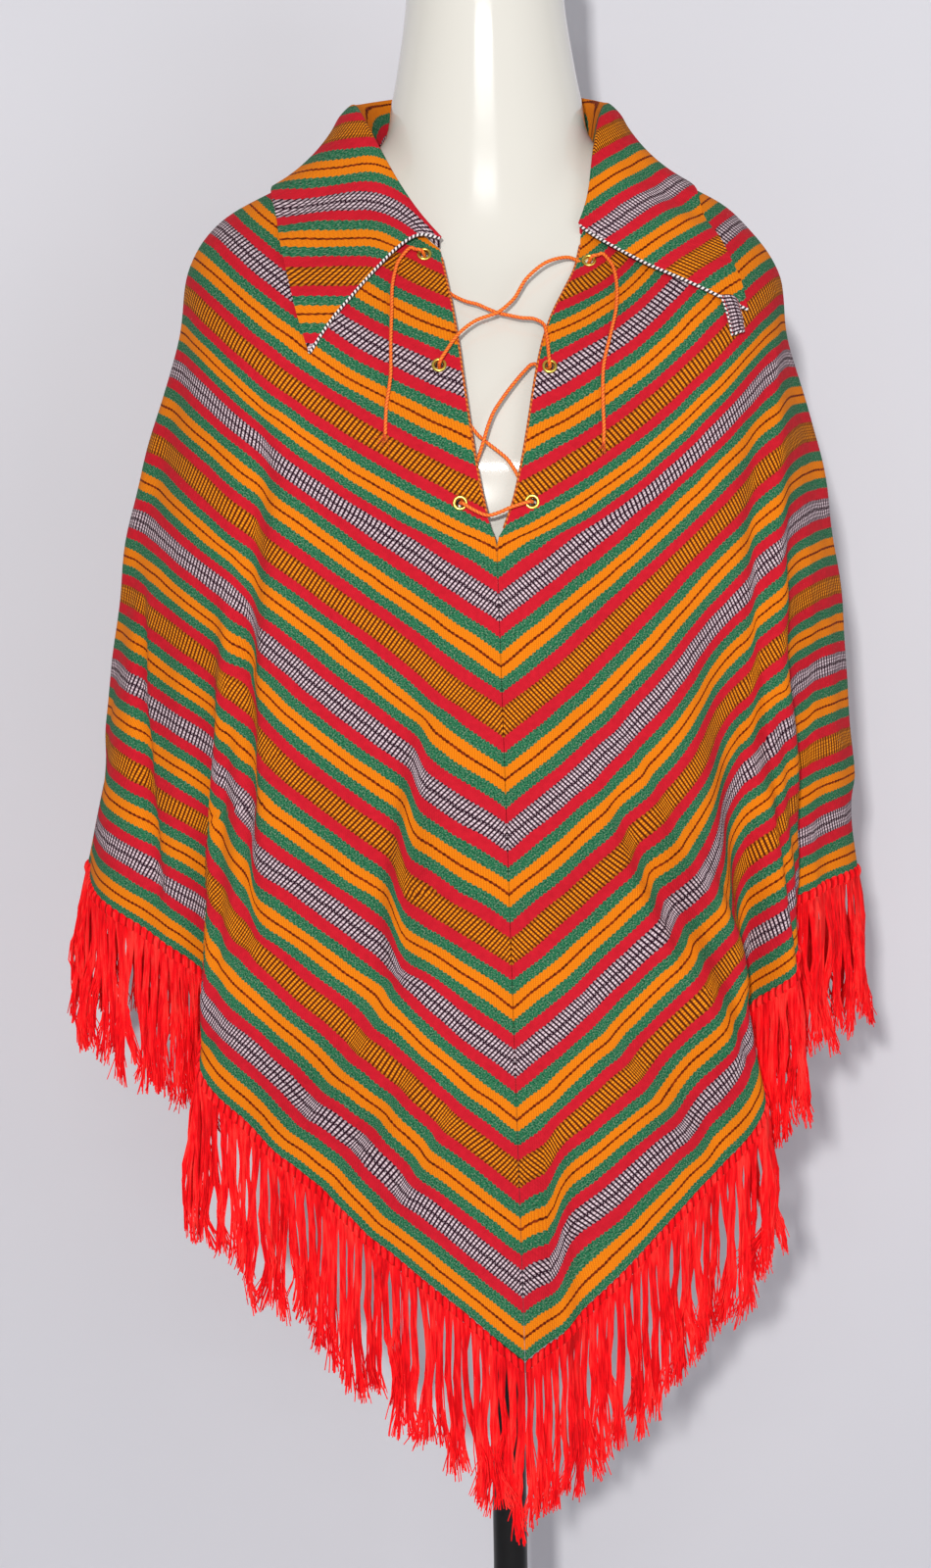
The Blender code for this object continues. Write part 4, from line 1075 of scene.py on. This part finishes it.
def add_tuft(name, end, direction, look, rng):
    """Short frayed fibres at a cut end of the lace."""
    steps = np.linspace(0, 1, FRAY_STEPS)
    lengths = rng.uniform(*FRAY_LENGTH, FRAY_FIBRES)
    lean = rng.normal(0, FRAY_LEAN, (FRAY_FIBRES, 3))
    bend = rng.normal(0, FRAY_BEND, (FRAY_FIBRES, 3))
    run = steps[None, :, None] * lengths[:, None, None]
    paths = end + run * (direction + lean[:, None] + bend[:, None] * steps[None, :, None])
    paths += rng.normal(0, FRAY_SPREAD, (FRAY_FIBRES, 1, 3))
    along = unit(np.gradient(paths, axis=1))
    first = unit(np.cross(along, (0.0, 1.0, 0.0)))
    radii = FRAY_RADIUS * (1 - 0.5 * steps) * np.ones((FRAY_FIBRES, 1))
    made = swept(paths, first, np.cross(along, first), radii, radii, 3)
    return add_piece(name, made[0], made[1], look, made[2])


def make_lace(left, right, look, end_look, rng):
    """The whole lace, parted where the solids part it, with frayed cut ends."""
    route, exits = lace_points(left, right)
    coarse, marks = smooth_path(route, LACE_STEP)
    first, last = marks[exits[0]], marks[exits[1]]
    cuts = []
    for low in (first - 1, last):
        middle = (coarse[low] + coarse[low + 1]) / 2
        half_gap = unit(coarse[low + 1] - coarse[low]) * GAP / 2
        cuts.append((middle - half_gap, middle + half_gap))
    stretches = {
        "lace_end_left": np.array([*coarse[:first], cuts[0][0]])[::-1],
        "lace_laced": np.array([cuts[0][1], *coarse[first : last + 1], cuts[1][0]]),
        "lace_end_right": np.array([cuts[1][1], *coarse[last + 1 :]]),
    }
    for node, line in stretches.items():
        fine, _ = smooth_path(list(line), LACE_FINE_STEP)
        piece = add_tube(f"{node}_cord", fine, LACE_RADIUS, look, LACE_SIDES, LACE_TWIST)
        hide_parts(node)
        if node != "lace_laced":
            away = unit(fine[-1] - fine[-3])
            tuft = add_tuft(f"{node}_tuft", fine[-1], away, end_look, rng)


def cut_holes(made, panel):
    """The eyelets' holes through the cloth."""
    cutters = []
    for row in range(len(EYELET_DOWN[panel["side"]])):
        centre, normal = eyelet_frame(panel, row)
        work = bmesh.new()
        bmesh.ops.create_cone(
            work,
            cap_ends=True,
            segments=HOLE_SIDES,
            radius1=CLOTH_HOLE,
            radius2=CLOTH_HOLE,
            depth=HOLE_DEPTH,
        )
        mesh = bpy.data.meshes.new("hole")
        work.to_mesh(mesh)
        work.free()
        tool = bpy.data.objects.new("hole", mesh)
        tool.matrix_world = turned(centre, normal)
        bpy.context.scene.collection.objects.link(tool)
        cutters.append(tool)
        change = made.modifiers.new("hole", "BOOLEAN")
        change.operation = "DIFFERENCE"
        change.object = tool
    graph = bpy.context.evaluated_depsgraph_get()
    cut = bpy.data.meshes.new_from_object(made.evaluated_get(graph))
    made.modifiers.clear()
    made.data = cut
    for tool in cutters:
        bpy.data.objects.remove(tool, do_unlink=True)


def make_panel(panel, title, look, edge_look):
    """The cloth of one panel and the narrow edge sewn along its side of the slit."""
    points, flat = fine_cloth(panel)
    side = panel["side"]
    rows = CLOTH_ROWS + 1
    normals = -grid_normals(points) * side
    closed = points[:, 0, 2] < SLIT_TIP - BINDING_RUN
    normals[closed, 0, 0] = 0
    normals[:, -1, 0] = 0
    normals = unit(normals)
    cloth = add_shell(f"cloth_{title}", points[:rows], normals[:rows], CLOTH, look, flat[:rows])
    cut_holes(cloth, panel)
    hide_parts(f"panel_{title}")
    open_rows = np.flatnonzero(~closed)[1:]
    edge = points[open_rows, 0]
    edge, _ = smooth_path(list(edge[::3]), BINDING_STEP)
    binding = add_tube(f"slit_edge_{title}", edge, BINDING_RADIUS, edge_look, 8)
    return cloth, binding, points, normals


def make_fringe(panel, title, points, normals, looks, rng):
    """The puffed heading under one hem and the tufts of yarn that hang from it."""
    hem = CLOTH_ROWS
    line = points[hem + 2]
    along = run_lengths(line)
    places = np.arange(0, along[-1], PUFF_PITCH / PUFF_POINTS)
    path = read_line(places, along, line)
    out = unit(read_line(places, along, normals[hem + 2]))
    fall = unit(read_line(places, along, points[hem + 3] - points[hem]))
    puff = np.abs(np.sin(math.pi * places / PUFF_PITCH)) ** PUFF_BLUNT
    share, fine, wide = PUFF_UNEVEN
    uneven = 1 + share * np.sin(places * fine) * np.sin(places * wide)
    tall = PUFF_HEIGHT * (PUFF_TALL[0] + PUFF_TALL[1] * puff) * uneven
    deep = PUFF_DEPTH * (PUFF_DEEP[0] + PUFF_DEEP[1] * puff)
    made = swept(path[None], fall[None], out[None], tall[None], deep[None], PUFF_SIDES)
    heading = add_piece(f"fringe_heading_{title}", made[0], made[1], looks[1], made[2])

    tufts = int(along[-1] / TUFT_PITCH)
    pitch = along[-1] / tufts
    size = (tufts, TUFT_YARNS)
    each = (tufts, 1)
    offset = rng.uniform(-TUFT_HALF, TUFT_HALF, size) * pitch * rng.uniform(*TUFT_WIDTHS, each)
    root_place = np.clip((np.arange(tufts) + 0.5)[:, None] * pitch + offset, 0.001, along[-1] - 0.001)
    root = read_line(root_place, along, points[hem + 3])
    out = unit(read_line(root_place, along, normals[hem + 3]))
    hang = unit(DOWN + out * out[..., 2:])
    across = unit(np.cross(out, hang))
    toward = unit(read_line(root_place, along, np.gradient(line, axis=0)))
    pointed = np.abs(2 * root_place / along[-1] - 1) ** YARN_POINT_POWER
    length = YARN_SIDE_LENGTH + (YARN_POINT_LENGTH - YARN_SIDE_LENGTH) * pointed
    length = length * (rng.uniform(*TUFT_LENGTHS, each) * (1 - np.abs(rng.normal(0, YARN_SHORTER, size))))

    share = np.linspace(0, 1, YARN_STEPS + 1)
    turn = ease(share / TURN_END)[:, None]
    steer = unit(hang[:, :, None] * (1 - TURN_SHARE * turn) + DOWN * TURN_SHARE * turn)
    move = steer[:, :, 1:] * (length / YARN_STEPS)[..., None, None]
    paths = root[:, :, None] + np.concatenate([np.zeros((*size, 1, 3)), np.cumsum(move, axis=2)], axis=2)
    pinch = PINCH * ease(share / PINCH_END) * (1 - PARTED * ease((share - PARTED_FROM) / PARTED_OVER))
    paths -= (toward * offset[..., None])[:, :, None] * pinch[:, None]

    def sway(spread, waves, size):
        start = rng.uniform(0, 2 * math.pi, size)[..., None]
        tall = rng.normal(0, spread, size)[..., None]
        return tall * np.sin(2 * math.pi * waves * share + start) * share**SWAY_GROWTH

    lock = sway(*TUFT_SWAYS[0], each) + sway(*TUFT_SWAYS[1], each)
    lock_out = sway(*TUFT_SWAY_OUT, each)
    fine = sway(*YARN_SWAYS[0], size) + sway(*YARN_SWAYS[1], size)
    fine_out = sway(*YARN_SWAY_OUT, size)
    curl = rng.normal(0, CURL, size)[..., None] * ease((share - CURL_FROM) / (1 - CURL_FROM)) ** 2
    paths += across[:, :, None] * (lock + fine + curl)[..., None]
    paths += out[:, :, None] * (lock_out + fine_out + YARN_OFF)[..., None]
    paths = paths.reshape(tufts * TUFT_YARNS, YARN_STEPS + 1, 3)
    forward = unit(np.gradient(paths, axis=1))
    first = unit(np.cross(forward, (0.31, 0.95, 0.0)))
    radii = (YARN_ROOT + (YARN_TIP - YARN_ROOT) * share) * rng.uniform(*YARN_WIDTHS, (len(paths), 1))
    made = swept(paths, first, np.cross(forward, first), radii, radii, YARN_SIDES)
    yarns = add_piece(f"fringe_yarns_{title}", made[0], made[1], looks[0], made[2])
    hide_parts(f"fringe_{title}")
    return [heading, yarns]


def make_eyelets(panel, title, look):
    """The three rolled rings down one edge of the slit."""
    seat = EYELET_SEAT
    profile = [(EYELET_BORE, seat * 0.9), *[(radius, seat + height) for radius, height in EYELET_RIM]]
    profile += [(EYELET_BARREL, -seat), (EYELET_BORE + EYELET_LIP, -seat - EYELET_LIP)]
    profile += [(EYELET_BORE, -seat * 0.9)]
    for row, place in enumerate(("top", "middle", "bottom")):
        centre, normal = eyelet_frame(panel, row)
        node = f"eyelet_{title}_{place}"
        made = add_turned(
            f"{node}_ring", profile, EYELET_SIDES, look, centre, normal, closed=True
        )
        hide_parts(node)


def collar_column(panel, row):
    """Middle points across the collar at one place along the neck, from its seam to its edge."""
    along, edge_along, edge_down, bend, stand, lift = row
    neck, normal, fall = panel_frame(panel, along, 0.0)
    inset = COLLAR_SEAM + CLOTH / 2
    rise = unit(normal * (1 - COLLAR_UPRIGHT) + np.array((0, 0, COLLAR_UPRIGHT)))
    points = []
    for part in COLLAR_STAND_PARTS:
        bow = COLLAR_STAND_INSET * math.sin(math.pi * part / COLLAR_BOW)
        points.append(neck - fall * (inset + bow) + rise * stand * part)
    points.append(neck - fall * COLLAR_ROLL_INSET + rise * stand * COLLAR_ROLL_RISE)
    sag = LEAF_SAG[panel["side"]] * max(1 - along / LEAF_SAG_END, 0)
    for part in COLLAR_FALL_PARTS:
        ray = along + (edge_along - along) * part**bend
        lower = sag * max(math.sin(math.pi * part**0.8), 0) ** 0.7
        foot, out, _ = panel_frame(panel, ray, edge_down * part + lower)
        height = lift + (stand - lift) * (1 - part) ** COLLAR_SETTLE
        points.append(foot + out * height)
    return np.array(points)


def collar_half(panel):
    """Half the collar's middle points, and their places along the neck."""
    rows = np.array(COLLAR[panel["side"]])
    places = np.linspace(0, 1, COLLAR_COLUMNS) ** 0.9
    values = read_line(places, rows[:, 0], rows[:, 1:])
    for _ in range(COLLAR_SMOOTHING):
        values[1:-1] = (values[:-2] + 2 * values[1:-1] + values[2:]) / 4
    made = [collar_column(panel, (place, *value)) for place, value in zip(places, values)]
    half = np.stack(made, axis=1)
    for _ in range(3):
        half[:, 1:-1] = (half[:, :-2] + 2 * half[:, 1:-1] + half[:, 2:]) / 4
    fine = through(half, np.linspace(0, len(half) - 1, COLLAR_ROWS))
    return places, fine


def collar_stripes(side, places, points):
    """Where each point of half the collar lies in the stripes, by the way its leaf was cut."""
    x, z = points[..., 0], points[..., 2]
    if side < 0:
        bend = LEFT_LEAF_BEND * np.maximum(x - LEFT_LEAF_BEND_FROM, 0) ** 2
        leaf = 0.5 + (LEFT_LEAF_STRIPE - z - bend) / LEFT_LEAF_PITCH
    else:
        across, up = x - RIGHT_LEAF_STRIPE[0], z - RIGHT_LEAF_STRIPE[1]
        leaf = 0.5 + (across * math.sin(RIGHT_LEAF_TILT) - up * math.cos(RIGHT_LEAF_TILT)) / STRIPE_PITCH
    fall = run_lengths(points)
    round_neck = BACK_FIRST_STRIPE + (fall - fall[COLLAR_ROLL]) / STRIPE_PITCH
    share = ease((places - LEAF_END) / LEAF_FADE)[None, :]
    return leaf * (1 - share) + round_neck * share


def make_turned_tip(panel, look, edge_look):
    """The right leaf's tip, turned back so that its white band shows."""
    points = np.empty((TIP_ROWS, TIP_COLUMNS, 3))
    flat = np.empty((TIP_ROWS, TIP_COLUMNS, 2))
    for row, fall in enumerate(np.linspace(0, 1, TIP_ROWS)):
        for column, across in enumerate(np.linspace(0, 1, TIP_COLUMNS)):
            ray = TIP_RAY[0] + TIP_RAY[1] * across + TIP_RAY[2] * fall
            down = TIP_DOWN[0] + TIP_DOWN[1] * across + TIP_DOWN[2] * fall - TIP_TAPER * across * fall
            foot, out, _ = panel_frame(panel, ray, down)
            lift = TIP_LIFT[0] + TIP_LIFT[1] * math.sin(math.pi * across) + TIP_LIFT[2] * fall
            points[row, column] = foot + out * lift
            stripe = TIP_STRIPE[0] + TIP_STRIPE[1] * across
            flat[row, column] = TIP_DOWN[2] * fall, CUT_DEPTH - STRIPE_START - stripe * STRIPE_PITCH
    made = add_shell("collar_turned_tip", points, -grid_normals(points), CLOTH, look, flat)
    outline = np.concatenate([points[:, 0], points[-1, 1:-1], points[::-1, -1]])
    fine, _ = smooth_path(list(outline[::2]), EDGING_STEP)
    return [made, add_tube("collar_tip_edging", fine, BINDING_RADIUS, edge_look, 8)]


def make_collar(left, right, look, edge_look):
    """The collar in one piece, the edging of its leaves and the right one's turned tip."""
    halves = []
    for panel in (left, right):
        places, points = collar_half(panel)
        halves.append((points, collar_stripes(panel["side"], places, points)))
    (near, near_stripes), (far, far_stripes) = halves
    joined = (near[:, -1:] + far[:, -1:]) / 2
    middle = np.concatenate([near[:, :-1], joined, far[:, -2::-1]], axis=1)
    stripes = np.concatenate([near_stripes[:, :-1], far_stripes[:, ::-1]], axis=1)
    runs = run_lengths(middle[COLLAR_ROWS * 2 // 3])
    fall = CUT_DEPTH - STRIPE_START - stripes * STRIPE_PITCH
    flat = np.stack([runs[None, :] + 0 * fall, fall], axis=-1)
    normals = -grid_normals(middle)
    free = ease(np.linspace(LEAF_CALM, 1, COLLAR_ROWS))[:, None]
    ripple = np.zeros_like(runs)
    for height, length, start in LEAF_WAVES:
        ripple += height * np.sin(2 * math.pi * runs / length + start)
    middle = middle + normals * (LEAF_RIPPLE * free * (0.6 + ripple))[..., None]
    normals = -grid_normals(middle)
    cloth = add_shell("collar_cloth", middle, normals, CLOTH, look, flat)
    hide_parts("collar")
    trims = []
    for title, border in (("left", middle[COLLAR_ROLL:, 0]), ("right", middle[COLLAR_ROLL:, -1])):
        fine, _ = smooth_path(list(border[::2]), EDGING_STEP)
        trims.append(add_tube(f"collar_edging_{title}", fine, LEAF_EDGING_RADIUS, edge_look, 8))
    trims += make_turned_tip(right, look, edge_look)
    return cloth, trims


def form_ring(front_z, side_z, half_width, front, back, square):
    """One ring of the form, as a rounded loop that may dip towards the front."""
    angle = 2 * math.pi * np.arange(FORM_SIDES) / FORM_SIDES
    sine, cosine = np.sin(angle), np.cos(angle)
    x = half_width * np.sign(sine) * np.abs(sine) ** (2 / square)
    y = -np.where(cosine > 0, front, back) * np.sign(cosine) * np.abs(cosine) ** (2 / square)
    return np.stack([x, y, side_z + (front_z - side_z) * np.maximum(cosine, 0) ** 2], axis=-1)


def shoulder_ring(level, side, front, back):
    """A ring of the form just under the cloth of one section, the same on both sides."""
    half = section_loops(1, np.array([level - 0.05, level, level + 0.05]))
    normals = -grid_normals(half)[1]
    normals[0, 0] = 0
    normals[-1, 0] = 0
    along = np.cos(np.linspace(0, math.pi, LOOP_POINTS))[:, None]
    under = side + (np.where(along > 0, front, back) - side) * along**2
    half = half[1] - unit(normals) * under
    right = half[np.linspace(0, LOOP_POINTS - 1, FORM_SIDES // 2 + 1).astype(int)]
    return np.concatenate([right, right[-2:0:-1] * (-1, 1, 1)])


def make_form(gloss, metal):
    """The form's body, its neck cap, and the stand's pole and base."""
    rings = [form_ring(*row[1:]) for row in FORM_ROWS]
    rings += [shoulder_ring(*row) for row in FORM_SHOULDER]
    rings += [form_ring(*row[1:], 2.0) for row in FORM_NECK]
    count = (len(rings) - 1) * FORM_STEPS + 1
    loops = through(rings, np.linspace(0, len(rings) - 1, count))
    faces = ring_faces(count, FORM_SIDES)
    body = add_piece("form_shell", loops, faces, gloss, sharp=50)
    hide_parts("form_body")
    neck_top = FORM_NECK[-1][1] + GAP
    foot = FORM_ROWS[0][1] - GAP
    rim = ((1.0, 0.0), (1.0, 0.72), (0.985, 0.86), (0.94, 0.96), (0.86, 1.0), (0.02, 1.0))
    cap = [(CAP_RADIUS * wide, neck_top + CAP_HEIGHT * tall) for wide, tall in rim]
    edge = ((0.0, 0.0), (0.0, 0.6), (0.0015, 0.8), (0.006, 1.0), (0.15, 1.0))
    base = [(BASE_RADIUS - inset, BASE_HEIGHT * tall) for inset, tall in edge]
    pole = [(POLE_RADIUS, BASE_HEIGHT + GAP), (POLE_RADIUS, foot)]
    parts = (("form_neck_cap", cap, 64), ("stand_base", base, 96), ("stand_pole", pole, 32))
    for node, profile, sides in parts:
        made = add_turned(f"{node}_turned", profile, sides, metal)
        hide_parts(node)


def add_light(name, place, target, power, width, height, colour):
    """A flat lamp at a place that faces a target."""
    data = bpy.data.lights.new(name, "AREA")
    data.energy = power
    data.shape = "RECTANGLE"
    data.size = width
    data.size_y = height
    data.color = colour
    made = bpy.data.objects.new(name, data)
    made.location = place
    made.rotation_euler = (Vector(target) - Vector(place)).to_track_quat("-Z", "Y").to_euler()
    bpy.context.scene.collection.objects.link(made)


def one_sided_paint():
    """Pale matt paint that can't be seen from behind the wall."""
    look = Look("backdrop_paint", roughness=0.9, specular=0.1)
    place = look.put("ShaderNodeTexCoord").outputs["Object"]
    look.set("Base Color", look.mix(look.noise(2.2, place, 3.0), (0.58, 0.58, 0.62), (0.63, 0.625, 0.66)))
    behind = look.put("ShaderNodeNewGeometry").outputs["Backfacing"]
    look.set("Alpha", look.math("SUBTRACT", 1.0, behind))
    return look.made


def make_stage():
    """A pale wall close behind, curved into a floor, the room's own light and the lamps."""
    wall, bend, reach, top = 0.27, 0.10, 3.0, 4.0
    turn = np.linspace(0, math.pi / 2, 16)
    profile = [(-reach, 0.0)]
    profile += [(wall - bend + bend * math.sin(a), bend - bend * math.cos(a)) for a in turn]
    profile += [(wall, top)]
    points = []
    for x in (-reach, reach):
        points += [(x, y, z - 0.0005) for y, z in profile]
    count = len(profile)
    faces = [(count + i, count + i + 1, i + 1, i) for i in range(count - 1)]
    mesh = bpy.data.meshes.new("backdrop")
    mesh.from_pydata(points, [], faces)
    mesh.materials.append(one_sided_paint())
    mesh.shade_smooth()
    made = bpy.data.objects.new("backdrop", mesh)
    bpy.context.scene.collection.objects.link(made)
    world = bpy.data.worlds.new("room")
    world.use_nodes = True
    world.node_tree.nodes["Background"].inputs[0].default_value = ROOM_COLOUR
    world.node_tree.nodes["Background"].inputs[1].default_value = ROOM_STRENGTH
    bpy.context.scene.world = world
    for light in LIGHTS:
        add_light(*light)


def main():
    rng = np.random.default_rng(11)
    left = draped_panel(-1)
    right = draped_panel(1)
    match_seams(left, right)
    cord_look = laid_cord("twisted_cord", (0.74, 0.15, 0.012), (0.48, 0.03, 0.006))
    tuft_look = plain_look("cord_fibre", (0.85, 0.11, 0.02), 0.8, uneven=0.4, scale=600)
    make_lace(left, right, cord_look, tuft_look, rng)
    wool = striped_cloth()
    yarn_looks = red_yarn("red_yarn", False), red_yarn("red_heading", True)
    slit_look = stitched_edge("slit_edging", (0.62, 0.16, 0.02), (0.28, 0.04, 0.008), 0.0034)
    dotted = stitched_edge("dotted_edging", (0.80, 0.74, 0.74), (0.012, 0.008, 0.012), 0.0030)
    for panel, title in ((left, "left"), (right, "right")):
        cloth, binding, points, normals = make_panel(panel, title, wool, slit_look)
        fringe = make_fringe(panel, title, points, normals, yarn_looks, rng)
    brass = plain_look("eyelet_metal", (0.88, 0.68, 0.12), 0.30, metallic=1.0, uneven=0.25, scale=400)
    make_eyelets(left, "left", brass)
    make_eyelets(right, "right", brass)
    collar, trims = make_collar(left, right, wool, dotted)
    gloss = plain_look("form_gloss", (0.63, 0.61, 0.555), 0.12, coat=0.6, uneven=0.03, scale=6)
    metal = plain_look("stand_satin", (0.004, 0.004, 0.004), 0.34, uneven=0.2, scale=60, specular=0.25)
    make_form(gloss, metal)
    make_stage()


main()
